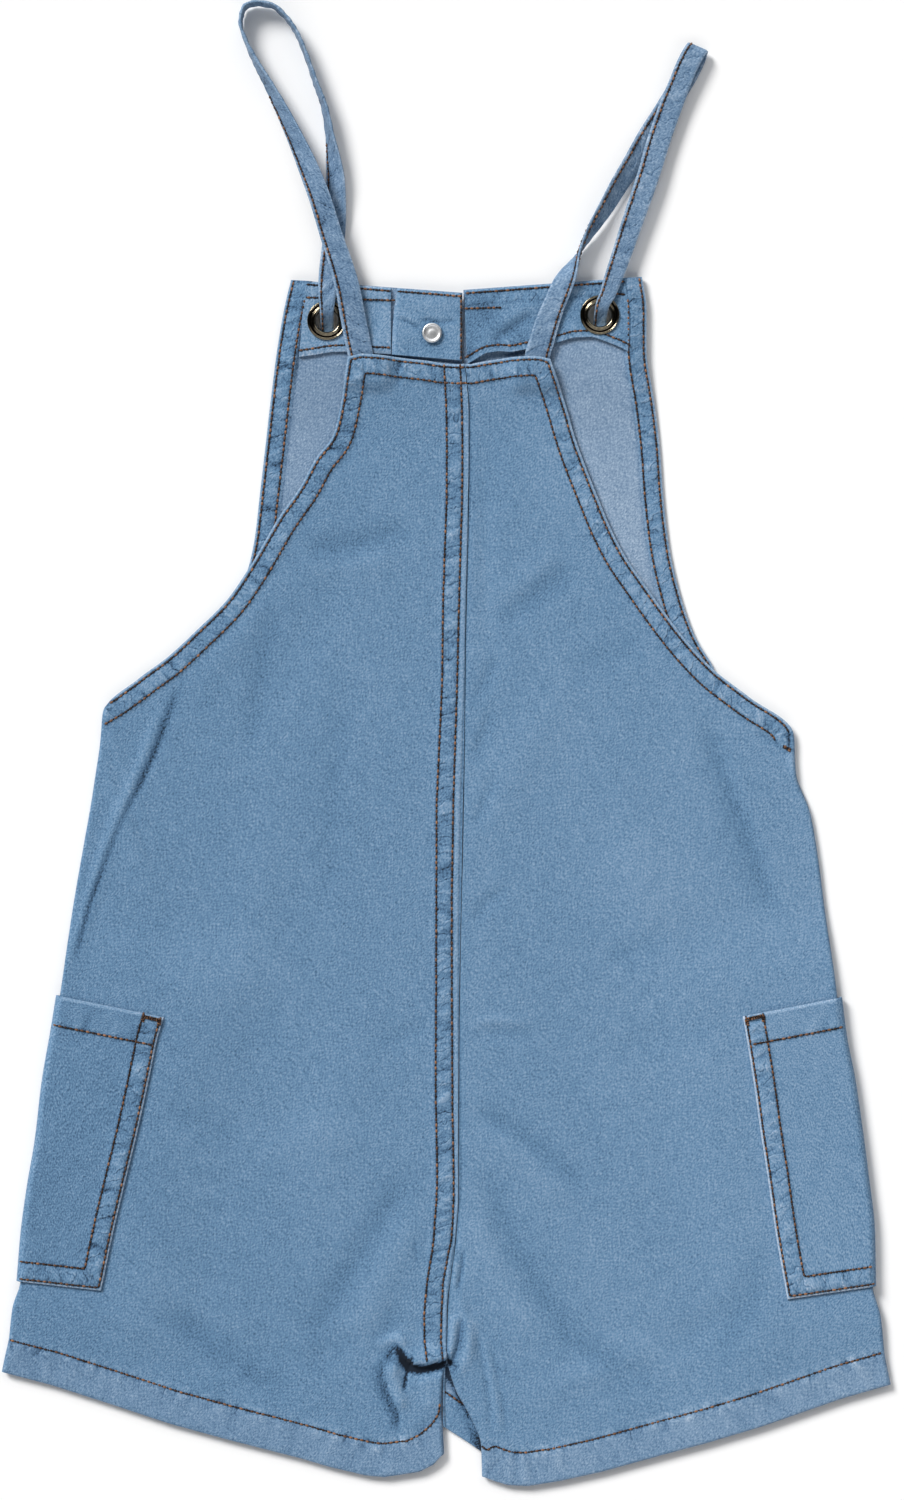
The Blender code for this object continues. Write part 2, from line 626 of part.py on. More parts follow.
def strap_ribbon(stations, count, thickness):
    """A strap as a ribbon of three rails along its stations, turning as they say."""
    grid = []
    for place in np.linspace(0.0, len(stations) - 1.0, count):
        x, y, z, width, bearing, lift = along_table(stations, place)
        bearing, lift = math.radians(bearing), math.radians(lift)
        flat = math.cos(lift)
        across = np.array([flat * math.cos(bearing), flat * math.sin(bearing), math.sin(lift)])
        centre = np.array([x, y, z])
        grid.append([centre + across * width / 2 * rail for rail in (-1.0, 0.0, 1.0)])
    grid = np.array(grid)
    return grid, np.full(grid.shape[:2], thickness)


def surface_normals(grid):
    down, right = np.gradient(grid, axis=0), np.gradient(grid, axis=1)
    normals = np.cross(right, down)
    return normals / np.linalg.norm(normals, axis=2, keepdims=True)


def linear(channel):
    return channel / 12.92 if channel <= 0.04045 else ((channel + 0.055) / 1.055) ** 2.4


def material(name, hex_colour, roughness, metallic):
    made = bpy.data.materials.new(name)
    made.use_nodes = True
    shader = made.node_tree.nodes["Principled BSDF"]
    channels = [linear(int(hex_colour[i : i + 2], 16) / 255.0) for i in (1, 3, 5)]
    shader.inputs["Base Color"].default_value = (*channels, 1.0)
    shader.inputs["Roughness"].default_value = roughness
    shader.inputs["Metallic"].default_value = metallic
    return made


def face_outwards(mesh):
    """Turn every face over when the closed mesh holds a negative volume."""
    shaped = bmesh.new()
    shaped.from_mesh(mesh)
    if shaped.calc_volume(signed=True) < 0.0:
        bmesh.ops.reverse_faces(shaped, faces=shaped.faces)
    shaped.to_mesh(mesh)
    shaped.free()


def add_object(name, points, faces, look):
    """One closed mesh with its faces turned outwards."""
    mesh = bpy.data.meshes.new(name)
    mesh.from_pydata([tuple(p) for p in np.asarray(points) * METRE], [], faces)
    face_outwards(mesh)
    mesh.polygons.foreach_set("use_smooth", [True] * len(mesh.polygons))
    mesh.materials.append(look)
    made = bpy.data.objects.new(name, mesh)
    bpy.context.scene.collection.objects.link(made)
    return made


def add_wall(name, grid, thick, look):
    """A cloth piece: the grid moved out to both sides by half its thickness, closed at the rim."""
    rows, columns = grid.shape[:2]
    out = surface_normals(grid) * thick[:, :, None] / 2
    points = np.concatenate([(grid + out).reshape(-1, 3), (grid - out).reshape(-1, 3)])
    under = rows * columns
    at = np.arange(under).reshape(rows, columns)
    faces = []
    for r in range(rows - 1):
        for c in range(columns - 1):
            quad = (at[r, c], at[r, c + 1], at[r + 1, c + 1], at[r + 1, c])
            faces.append(tuple(int(i) for i in quad))
            faces.append(tuple(int(i) + under for i in quad[::-1]))
    rim = [*at[0, :], *at[1:, -1], *at[-1, -2::-1], *at[-2:0:-1, 0]]
    for i, start in enumerate(rim):
        end = rim[(i + 1) % len(rim)]
        faces.append((int(end), int(start), int(start) + under, int(end) + under))
    return add_object(name, points, faces, look)


def add_turned(name, profile, centre, base, segments, look):
    """A closed ring or disc turned about the vertical through centre, from radius and height rows."""
    points, rings = [], []
    for radius, z in profile:
        if radius == 0.0:
            rings.append([len(points)] * segments)
            points.append((centre[0], centre[1], base + z))
            continue
        rings.append(list(range(len(points), len(points) + segments)))
        for k in range(segments):
            turn = 2.0 * math.pi * k / segments
            points.append((centre[0] + radius * math.cos(turn), centre[1] + radius * math.sin(turn), base + z))
    closed = profile[0][0] > 0.0 and profile[-1][0] > 0.0
    pairs = list(zip(rings, rings[1:])) + ([(rings[-1], rings[0])] if closed else [])
    faces = []
    for low, high in pairs:
        for k in range(segments):
            nxt = (k + 1) % segments
            corners = dict.fromkeys((low[k], low[nxt], high[nxt], high[k]))
            faces.append(tuple(corners))
    return add_object(name, points, faces, look)


def punch(pieces, centre, radius):
    """Cut one round hole down through the named pieces."""
    bpy.ops.mesh.primitive_cylinder_add(
        vertices=24,
        radius=radius * METRE,
        depth=40.0 * METRE,
        location=(centre[0] * METRE, centre[1] * METRE, 0.0),
    )
    cutter = bpy.context.object
    for piece in pieces:
        cut = piece.modifiers.new("hole", "BOOLEAN")
        cut.operation = "DIFFERENCE"
        cut.solver = "EXACT"
        cut.object = cutter
        bpy.context.view_layer.objects.active = piece
        bpy.ops.object.modifier_apply(modifier=cut.name)
    bpy.data.objects.remove(cutter, do_unlink=True)


def facing_middle(x, y):
    far = np.full_like(x, BIB_DROOP_WIDTH)
    return front_middle(x, y, far) + WALL / 2 + SEAM_GAP + THIN_WALL / 2


def placket_middle(x, y):
    far = np.full_like(x, BIB_DROOP_WIDTH)
    return front_middle(x, y, far) + WALL + SEAM_GAP + PLACKET_RISE


clear_scene()

denim_back = material("stonewashed denim, right side", "#759BC0", 0.9, 0.0)
denim_inside = material("stonewashed denim, wrong side", "#8AA6C7", 0.92, 0.0)
brass = material("antique brass eyelet", "#8C7E68", 0.32, 1.0)
steel = material("pressed steel rivet", "#C9C8C4", 0.35, 1.0)

for side, sections, rows, droop, ridge in (
    ("left", BACK_LEFT_SECTIONS, BACK_LEFT_ROWS, BACK_LEFT_DROOP, FELLED_SEAM),
    ("right", BACK_RIGHT_SECTIONS, BACK_RIGHT_ROWS, BACK_RIGHT_DROOP, 0.0),
):
    grid, thick = half_panel(sections, rows, droop, back_middle, -1.0, ridge, BACK_COLUMNS, (0.34, 0.39))
    add_wall("back_" + side, grid, thick, denim_back)

fronts = {}
for side, sections, rows, droop in (
    ("left", FRONT_LEFT_SECTIONS, FRONT_LEFT_ROWS, FRONT_LEFT_DROOP),
    ("right", FRONT_RIGHT_SECTIONS, FRONT_RIGHT_ROWS, FRONT_RIGHT_DROOP),
):
    grid, thick = half_panel(sections, rows, droop, front_middle, 1.0, 0.0, FRONT_COLUMNS, (0.52, 0.6))
    fronts[side] = add_wall("front_" + side, grid, thick, denim_inside)

facings = {}
for side, sections, droop in (
    ("left", FACING_LEFT_SECTIONS, FACING_LEFT_DROOP),
    ("right", FACING_RIGHT_SECTIONS, FACING_RIGHT_DROOP),
):
    grid, thick = small_panel(sections, droop, 9, 0.75, facing_middle, THIN_WALL)
    facings[side] = add_wall("facing_" + side, grid, thick, denim_back)
grid, thick = small_panel(PLACKET_SECTIONS, None, 4, 1.0, placket_middle, WALL)
placket = add_wall("bib_placket", grid, thick, denim_back)

for side, sections in (("left", POCKET_LEFT_SECTIONS), ("right", POCKET_RIGHT_SECTIONS)):
    grid, thick = pocket_panel(sections, 5, 0.75)
    add_wall("pocket_" + side, grid, thick, denim_back)

for side, stations in (("left", STRAP_LEFT_STATIONS), ("right", STRAP_RIGHT_STATIONS)):
    grid, thick = strap_ribbon(stations, STRAP_SECTIONS, THIN_WALL)
    add_wall("strap_" + side, grid, thick, denim_back)

stack = BIB_LIFT + WALL + SEAM_GAP + THIN_WALL
washer_low, ring_low = BIB_LIFT - 0.95, stack + 0.25
eyelet_profile = (
    (EYELET_HOLE_RADIUS, washer_low + 0.35),
    (EYELET_HOLE_RADIUS + 0.35, washer_low),
    (EYELET_RING_RADIUS - 0.25, washer_low),
    (EYELET_RING_RADIUS, washer_low + 0.3),
    (EYELET_RING_RADIUS, BIB_LIFT - 0.25),
    (EYELET_BARREL_RADIUS, BIB_LIFT - 0.25),
    (EYELET_BARREL_RADIUS, ring_low),
    (EYELET_RING_RADIUS, ring_low),
    (EYELET_RING_RADIUS + 0.2, ring_low + 0.3),
    (EYELET_RING_RADIUS - 0.5, ring_low + 0.75),
    (EYELET_RING_RADIUS - 1.3, ring_low + 0.8),
    (EYELET_HOLE_RADIUS + 1.3, ring_low + 0.6),
    (EYELET_HOLE_RADIUS + 0.6, ring_low + 0.75),
    (EYELET_HOLE_RADIUS + 0.1, ring_low + 0.4),
)
for side, centre in (("left", LEFT_EYELET), ("right", RIGHT_EYELET)):
    punch((fronts[side], facings[side]), centre, CLOTH_HOLE_RADIUS)
    add_turned("eyelet_" + side, eyelet_profile, centre, 0.0, EYELET_SEGMENTS, brass)

punch((fronts["left"], placket), RIVET, CLOTH_RIVET_RADIUS)
placket_top = BIB_LIFT + WALL + SEAM_GAP + PLACKET_RISE + WALL
rivet_profile = (
    (0.0, 2.0),
    (RIVET_POST_RADIUS, 2.0),
    (RIVET_POST_RADIUS, placket_top + 0.25),
    (RIVET_RADIUS - 0.3, placket_top + 0.25),
    (RIVET_RADIUS, placket_top + 0.6),
    (RIVET_RADIUS - 0.25, placket_top + 1.2),
    (RIVET_RADIUS - 0.8, placket_top + 1.3),
    (RIVET_RADIUS - 1.2, placket_top + 1.05),
    (0.0, placket_top + 1.0),
)
add_turned("rivet_back", rivet_profile, RIVET, 0.0, RIVET_SEGMENTS, steel)
button_profile = (
    (0.0, 0.0),
    (BUTTON_RADIUS - 0.8, 0.0),
    (BUTTON_RADIUS, 0.6),
    (BUTTON_RADIUS, 1.2),
    (BUTTON_RADIUS - 0.7, 1.7),
    (0.0, 1.7),
)
add_turned("bib_button", button_profile, RIVET, 0.0, RIVET_SEGMENTS, steel)
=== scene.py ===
"""Child's denim romper, laid flat on its front and seen from behind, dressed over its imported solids.

Lengths are millimetres, x to the right, y up the garment and z up from the surface, until they go
into a mesh. Each cloth piece is a thin closed shell on its solid's form, with its seams, hems,
tucks and folds in the shape and its stitches as thread.
"""
import json
import math

import bpy
import numpy as np
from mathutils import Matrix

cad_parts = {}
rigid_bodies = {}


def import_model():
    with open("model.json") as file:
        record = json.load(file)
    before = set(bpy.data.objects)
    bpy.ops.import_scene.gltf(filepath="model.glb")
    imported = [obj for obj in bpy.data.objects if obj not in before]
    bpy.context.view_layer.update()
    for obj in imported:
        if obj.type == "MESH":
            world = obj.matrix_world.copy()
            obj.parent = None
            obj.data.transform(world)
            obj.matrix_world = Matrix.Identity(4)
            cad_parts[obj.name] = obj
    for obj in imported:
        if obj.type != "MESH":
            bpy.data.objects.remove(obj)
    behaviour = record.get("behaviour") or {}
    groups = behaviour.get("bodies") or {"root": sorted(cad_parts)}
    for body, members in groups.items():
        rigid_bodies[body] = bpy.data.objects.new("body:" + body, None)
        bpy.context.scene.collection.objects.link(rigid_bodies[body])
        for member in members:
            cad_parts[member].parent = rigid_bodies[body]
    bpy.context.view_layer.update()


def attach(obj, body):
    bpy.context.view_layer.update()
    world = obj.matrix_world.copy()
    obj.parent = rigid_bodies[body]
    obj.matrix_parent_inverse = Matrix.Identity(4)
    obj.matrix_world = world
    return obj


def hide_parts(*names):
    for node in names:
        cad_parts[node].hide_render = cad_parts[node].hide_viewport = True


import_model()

# --- Front halves ---------------------------------------------------------------------------
# The two front halves of the romper lie face down, so their wrong side shows above the back.
# Soft stonewashed cotton denim. Their free edges are turned in twice and sewn with two rows
# of topstitching, and the leg hems with one.
MM = 0.001
WALL, SEAM_GAP, EASE = 1.2, 0.3, 0.6
CLOTH = 0.9
TURN_ROOM = (WALL + SEAM_GAP + EASE) / 2
TURN_ANGLES = (90.0, 74.0, 58.0, 42.0, 26.0, 12.0)
EDGE_COLUMNS = (1.3, 1.6, 2.0, 2.6, 3.3, 4.0, 4.7, 5.4, 6.1, 6.8, 7.4, 7.9, 8.3, 8.8, 9.4, 10.2)
BIB_LIFT, BIB_LIFT_FROM_Y, BIB_LIFT_FULL_Y = 2.25, 125.0, 165.0
BIB_EDGE_DROOP, BIB_DROOP_WIDTH = 0.6, 9.0
POCKET_LIFT, POCKET_LIFT_FLAT, POCKET_LIFT_END = 1.5, 10.0, 45.0
HEM_WIDTH = 14.0

# Sections of a half from top to hem. Columns: seam x, seam y, outer edge x, outer edge y.
FRONT_SECTIONS = {
    "left": (
        (6.8, 188.6, -65.2, 194.0),
        (6.8, 175.1, -67.9, 182.7),
        (6.8, 161.3, -70.7, 166.7),
        (6.8, 143.6, -73.8, 143.6),
        (6.8, 122.6, -76.1, 123.5),
        (6.8, 101.6, -78.4, 103.7),
        (6.8, 82.7, -80.7, 84.4),
        (6.8, 63.8, -85.4, 66.8),
        (6.8, 42.8, -91.2, 57.9),
        (6.8, 21.8, -103.8, 44.9),
        (6.8, 0.8, -115.6, 34.0),
        (6.8, -22.3, -128.6, 24.3),
        (6.7, -47.5, -142.1, 12.6),
        (6.3, -68.5, -146.1, -5.5),
        (5.9, -87.4, -149.2, -25.2),
        (5.5, -108.4, -152.6, -44.5),
        (5.3, -129.4, -156.8, -68.9),
        (5.1, -150.4, -161.8, -103.3),
        (4.9, -171.4, -165.2, -125.2),
        (4.9, -192.4, -168.5, -148.7),
        (3.8, -210.0, -171.9, -171.4),
        (1.9, -224.3, -175.5, -194.5),
        (0.4, -238.6, -178.0, -213.4),
        (-0.5, -253.7, -178.8, -226.4),
        (-2.4, -265.9, -182.2, -237.7),
        (-2.8, -276.4, -183.7, -250.3),
        (-2.8, -286.5, -184.5, -257.1),
        (-2.8, -295.7, -185.5, -263.4),
    ),
    "right": (
        (7.2, 189.8, 82.2, 195.3),
        (7.2, 175.1, 84.1, 181.4),
        (7.2, 161.3, 84.1, 164.6),
        (7.2, 143.6, 87.3, 143.6),
        (7.2, 122.6, 89.6, 125.1),
        (7.2, 101.6, 91.2, 103.7),
        (7.2, 82.7, 93.6, 82.7),
        (7.2, 63.8, 98.6, 60.9),
        (7.2, 42.8, 104.9, 43.7),
        (7.2, 21.8, 111.6, 32.7),
        (7.2, -1.3, 114.1, 27.3),
        (7.1, -24.4, 126.7, 16.8),
        (7.0, -47.5, 142.7, 4.6),
        (6.5, -66.4, 147.3, -15.1),
        (6.1, -85.3, 152.8, -29.4),
        (5.9, -104.2, 156.1, -47.5),
        (5.7, -121.0, 159.1, -70.6),
        (5.4, -142.0, 162.9, -96.6),
        (5.3, -167.2, 165.8, -118.5),
        (5.2, -190.3, 170.0, -144.1),
        (4.0, -209.2, 172.9, -167.2),
        (2.1, -223.5, 175.9, -190.3),
        (0.7, -237.7, 178.4, -213.4),
        (0.1, -252.4, 178.9, -227.7),
        (-1.4, -263.8, 182.4, -241.1),
        (-1.6, -273.0, 183.5, -251.2),
        (-1.6, -280.6, 183.9, -258.7),
        (-1.4, -288.1, 185.5, -268.0),
    ),
}
# Droop of a section below its straight line.
# Columns: share of the width from the seam, at the top, at the hem stitch, at the lower edge.
FRONT_DROOP = {
    "left": (
        (0, 0.0, 0.0, 0.0),
        (0.022, 0.0, 5.0, 5.8),
        (0.068, 0.0, 10.1, 11.8),
        (0.137, 0.0, 13.4, 15.5),
        (0.2, 0.0, 14.3, 16.4),
        (0.32, 0.0, 11.8, 13.7),
        (0.482, 0.0, 9.7, 11.3),
        (0.615, 0.0, 7.6, 9.0),
        (0.746, 0.0, 4.2, 5.2),
        (0.856, 0.0, 1.7, 1.9),
        (1, 0.0, 0.0, 0.0),
    ),
    "right": (
        (0, 0.0, 0.0, 0.0),
        (0.076, 0.0, 8.4, 10.5),
        (0.128, 0.0, 16.8, 20.2),
        (0.19, 0.0, 22.3, 26.0),
        (0.263, 0.0, 22.3, 25.9),
        (0.353, 0.0, 20.6, 23.9),
        (0.483, 0.0, 16.8, 19.7),
        (0.658, 0.0, 11.8, 14.1),
        (0.79, 0.0, 7.1, 8.8),
        (0.876, 0.0, 3.4, 4.2),
        (0.96, 0.0, 1.7, 2.1),
        (1, 0.0, 0.0, 0.0),
    ),
}
# Row of the sections where each of these starts
FRONT_ROWS = {
    "left": {"underarm": 12, "crotch": 23, "hem": 25},
    "right": {"underarm": 12, "crotch": 23, "hem": 25},
}
# Pocket sections from mouth to foot. Columns: inner edge x, y, then outer edge x, y.
POCKET_SECTIONS = {
    "left": (
        (-118.5, -115.5, -163.9, -106.3),
        (-121.1, -124.3, -166.4, -121.8),
        (-124.8, -142.0, -170.0, -142.8),
        (-129.5, -163.4, -172.9, -167.2),
        (-134.5, -184.0, -176.3, -187.3),
        (-139.5, -205.0, -178.8, -205.8),
        (-144.8, -230.2, -180.5, -226.2),
    ),
    "right": (
        (124.4, -115.1, 166.2, -107.1),
        (126.5, -127.7, 168.3, -123.5),
        (129.3, -145.3, 171.7, -140.7),
        (131.8, -163.4, 174.8, -161.7),
        (134.7, -181.9, 177.6, -183.1),
        (138.1, -205.8, 180.1, -205.8),
        (143.1, -233.8, 180.5, -228.3),
    ),
}
EYELETS = {"left": (-50.1, 176.8), "right": (64.4, 179.1)}
CLOTH_HOLE = 6.3
CLOTH_MARKS = ("wear_and_shade", "wrong", "tuck", "tuck_at", "tuck_in")
RIVET = (-6.0, 171.5)


def ramp(value, low, high):
    """0 below low, 1 above high, and a smooth rise between."""
    share = np.clip((np.asarray(value, float) - low) / (high - low), 0.0, 1.0)
    return share * share * (3.0 - 2.0 * share)


def bell(value, width):
    """1 at nothing, falling away on both sides as a bell curve."""
    return np.exp(-((value / width) ** 2))


def along_table(rows, places):
    """The columns of a table at fractional rows, by cubic pieces that never overshoot."""
    rows = np.asarray(rows, float)
    places = np.asarray(places, float)
    steps = np.diff(rows, axis=0)
    slopes = np.zeros_like(rows)
    same_way = steps[:-1] * steps[1:] > 0
    total = np.where(same_way, steps[:-1] + steps[1:], 1.0)
    slopes[1:-1] = np.where(same_way, 2.0 * steps[:-1] * steps[1:] / total, 0.0)
    slopes[0], slopes[-1] = steps[0], steps[-1]
    index = np.clip(np.floor(places).astype(int), 0, len(rows) - 2)
    share = (places - index)[..., None]
    start, end = rows[index], rows[index + 1]
    rise = 3.0 * share**2 - 2.0 * share**3
    lead_in = share * (1.0 - share) ** 2
    lead_out = share**2 * (share - 1.0)
    return start + (end - start) * rise + slopes[index] * lead_in + slopes[index + 1] * lead_out


def droop_at(table, share, top, hem, edge):
    """Droop of points along a section, with the table's three columns weighted."""
    table = np.asarray(table, float)
    weights = (top, hem, edge)
    return sum(w * np.interp(share, table[:, 0], table[:, c + 1]) for c, w in enumerate(weights))


def near_path(x, y, path):
    """Distance to a path of straight runs, positive to its left, and how far along it that is."""
    x, y = np.asarray(x, float), np.asarray(y, float)
    best, side = np.full(x.shape, np.inf), np.ones(x.shape)
    along, travelled = np.zeros(x.shape), 0.0
    for (start_x, start_y), (end_x, end_y) in zip(path[:-1], path[1:]):
        run_x, run_y = end_x - start_x, end_y - start_y
        run = math.hypot(run_x, run_y)
        share = ((x - start_x) * run_x + (y - start_y) * run_y) / run**2
        share = np.clip(share, 0.0, 1.0)
        off_x, off_y = x - start_x - share * run_x, y - start_y - share * run_y
        off = np.hypot(off_x, off_y)
        nearer = off < best
        best = np.where(nearer, off, best)
        along = np.where(nearer, travelled + share * run, along)
        side = np.where(nearer, np.where(run_x * off_y < run_y * off_x, -1.0, 1.0), side)
        travelled += run
    return best * side, along


def path_length(path):
    """Sum of the lengths of a path's straight runs."""
    return float(np.hypot(*np.diff(np.asarray(path, float), axis=0).T[:2]).sum())


def resample(path, step):
    """The same path with its points an even step apart."""
    path = np.asarray(path, float)
    along = np.r_[0.0, np.cumsum(np.linalg.norm(np.diff(path, axis=0), axis=1))]
    places = np.linspace(0.0, along[-1], max(2, int(along[-1] / step) + 1))
    return np.column_stack([np.interp(places, along, column) for column in path.T])


def inset(path, distance):
    """The line that keeps a distance from a path on its left, square at the corners."""
    fine = resample(path, 0.8)
    run = np.gradient(fine, axis=0)
    run /= np.linalg.norm(run, axis=1, keepdims=True)
    moved = fine + np.column_stack([-run[:, 1], run[:, 0]]) * distance
    off = abs(near_path(moved[:, 0], moved[:, 1], fine)[0])
    return moved[off > distance * 0.985]


def section_line(section, count, droop, *weights):
    """The straight line from a section's seam to its outer edge, less its droop."""
    share = np.linspace(0.0, 1.0, count)
    seam_x, seam_y, edge_x, edge_y = section
    line = np.column_stack([seam_x + (edge_x - seam_x) * share, seam_y + (edge_y - seam_y) * share])
    line[:, 1] -= droop_at(droop, share, *weights)
    return line


def edge_path(sections, rows, droop):
    """Outline from the seam along the top edge and down the armhole to the underarm."""
    top = section_line(sections[0], 25, droop, 1.0, 0.0, 0.0)
    down = along_table(sections, np.arange(0.0, rows["underarm"] + 0.1, 0.2))[1:, 2:]
    return np.vstack([top, down])


def hem_path(sections, droop):
    """Outline along the lower edge of a leg or facing, from the seam to the outer edge."""
    return section_line(sections[-1], 60, droop, 0.0, 0.0, 1.0)


def inside_left(side, path):
    """A left half's rim and a right half's hem already have the cloth on their left."""
    return path if side == "left" else path[::-1]


def pocket_lift(x, y):
    """Lift over the part of each pocket that goes round the side and under the front."""
    lift = np.zeros(x.shape)
    for sections in POCKET_SECTIONS.values():
        mouth_in, mouth_out = sections[0][:2], sections[0][2:]
        foot_in, foot_out = sections[-1][:2], sections[-1][2:]
        middle = np.mean([mouth_in, mouth_out, foot_in, foot_out], axis=0)
        share = np.ones(x.shape)
        for start, end in ((mouth_in, foot_in), (mouth_in, mouth_out), (foot_in, foot_out)):
            run = np.subtract(end, start)
            across = np.array([-run[1], run[0]]) / np.hypot(*run)
            away = (x - start[0]) * across[0] + (y - start[1]) * across[1]
            if (middle[0] - start[0]) * across[0] + (middle[1] - start[1]) * across[1] > 0:
                away = -away
            share = share * (1.0 - ramp(away, POCKET_LIFT_FLAT, POCKET_LIFT_END))
        lift = np.maximum(lift, POCKET_LIFT * share)
    return lift


def front_middle(x, y, away):
    """Height of the middle of the front: lifted over the strap tails, washers and pockets."""
    lift = BIB_LIFT * ramp(y, BIB_LIFT_FROM_Y, BIB_LIFT_FULL_Y)
    lift = lift * (1.0 - BIB_EDGE_DROOP * (1.0 - ramp(away, 0.0, BIB_DROOP_WIDTH)))
    return WALL / 2 + lift + pocket_lift(x, y)


def draw_tucks(length, seed, pitch, widest=1.7):
    """Uneven small tucks along a seam, some of them troughs.

    Columns: place, half width, lean, height, then middle and half length as shares of the band.
    """
    draw = np.random.default_rng(seed)
    count = max(3, int(length / pitch))
    place = (np.arange(count) + draw.uniform(0.1, 0.9, count)) * length / count
    width = draw.uniform(0.3, 1.0, count) * widest
    lean = draw.normal(0.0, 0.4, count)
    height = draw.uniform(0.25, 1.0, count) * np.where(draw.random(count) < 0.5, -1.0, 1.0)
    middle, reach = draw.uniform(0.1, 0.9, count), draw.uniform(0.3, 0.9, count)
    return np.column_stack([place, width, lean, height, middle, reach])


def tuck_height(tucks, along, away, low, high):
    """Sum of the tucks where they cross a band between two distances from its edge."""
    window = ramp(away, low - 0.4, low + 1.3) * (1.0 - ramp(away, high - 1.2, high + 0.6))
    height = np.zeros(np.shape(window))
    there = window > 0.001
    place, width, lean, size, middle, reach = (column[None, :] for column in tucks.T)
    across = away[there][:, None] - low
    off = (along[there][:, None] + lean * across - place) / width
    height[there] = (size * np.exp(-(off**2) - ((across / (high - low) - middle) / reach) ** 2)).sum(axis=1)
    return height * window


def make_band(path, seed, rows=(1.5, 8.1), width=9.0, rise=0.4, pitch=3.0):
    """A turned and topstitched edge: its path, tucks, stitch rows, width and rise."""
    tucks = draw_tucks(path_length(path), seed, pitch, 1.1)
    return {"path": path, "tucks": tucks, "rows": rows, "width": width, "rise": rise}


def band_relief(band, x, y):
    """Rise and tucks of a band, its wear and painted shade at each point, its distance in, and its gathers."""
    away, along = near_path(x, y, band["path"])
    away = abs(away)
    first, second = band["rows"]
    tuck = tuck_height(band["tucks"], along, away, first, second)
    pull = tuck_height(band["tucks"], along, away, second, second + 4.5)
    groove = bell(away - first, 0.7) + bell(away - second, 0.7)
    relief = band["rise"] * (1.0 - ramp(away, band["width"] - 0.5, band["width"] + 0.4))
    relief = relief + 0.46 * tuck + 0.14 * pull - 0.22 * groove - 0.35 * (1.0 - ramp(away, 0.0, 0.8))
    # The tucks' troughs and the grooves at the stitch rows get painted shade, the ridges are lighter with wear, and
    # the folded edge is lighter with wear
    wear_and_shade = np.where(tuck < 0.0, 0.5, 0.22) * tuck + 0.16 * pull - 0.4 * groove
    wear_and_shade = wear_and_shade + 0.42 * (1.0 - ramp(away, 0.55, 1.05))
    wear_and_shade = wear_and_shade + 0.05 * (1.0 - ramp(away, band["width"] - 1.0, band["width"]))
    gathered = ramp(away, first - 0.6, first + 0.4) * (1.0 - ramp(away, second - 0.4, second + 1.6))
    return relief, wear_and_shade, away, (gathered, along + 0.35 * away, away)


def make_hem(path, seed):
    """A leg hem: its path, the short ropy tucks at its stitching and the soft ones across it."""
    length = path_length(path)
    return {"path": path, "rope": draw_tucks(length, seed, 3.0, 1.1),
        "soft": draw_tucks(length, seed + 1, 7.0, 3.0)}


def hem_relief(hem, x, y):
    """Rise and tucks of a leg hem, its wear and painted shade at each point, its distance in, and its gathers."""
    away, along = near_path(x, y, hem["path"])
    away = abs(away)
    rope = tuck_height(hem["rope"], along, away, HEM_WIDTH - 4.5, HEM_WIDTH + 2.5)
    soft = tuck_height(hem["soft"], along, away, 0.5, HEM_WIDTH + 3.0)
    groove = bell(away - HEM_WIDTH, 0.6)
    relief = 0.35 * (1.0 - ramp(away, HEM_WIDTH - 0.3, HEM_WIDTH + 0.6)) - 0.3 * groove
    relief = relief + 0.32 * rope + 0.28 * soft - 0.35 * (1.0 - ramp(away, 0.0, 0.8))
    # The tucks' troughs and the groove at the stitching get painted shade, their ridges are lighter with wear, and a
    # lighter strip lies just past the stitching
    wear_and_shade = 0.44 * rope + 0.2 * soft - 0.3 * groove
    wear_and_shade = wear_and_shade + 0.14 * bell(away - HEM_WIDTH - 1.6, 1.2)
    gathered = 0.7 * ramp(away, HEM_WIDTH - 4.0,
        HEM_WIDTH - 0.8) * (1.0 - ramp(away, HEM_WIDTH + 0.6, HEM_WIDTH + 3.5))
    gathered = gathered + 0.25 * (1.0 - ramp(away, HEM_WIDTH - 2.0, HEM_WIDTH))
    return relief, wear_and_shade, away, (gathered, along, 0.5 * away)


def join_gathers(one, other):
    """The stronger of two sets of gathers at each point: how much, how far along and in."""
    return tuple(np.where(one[0] >= other[0], first, second) for first, second in zip(one, other))


def gather_marks(gathers):
    """A set of gathers under the names of its marks."""
    return dict(zip(("tuck", "tuck_at", "tuck_in"), gathers))


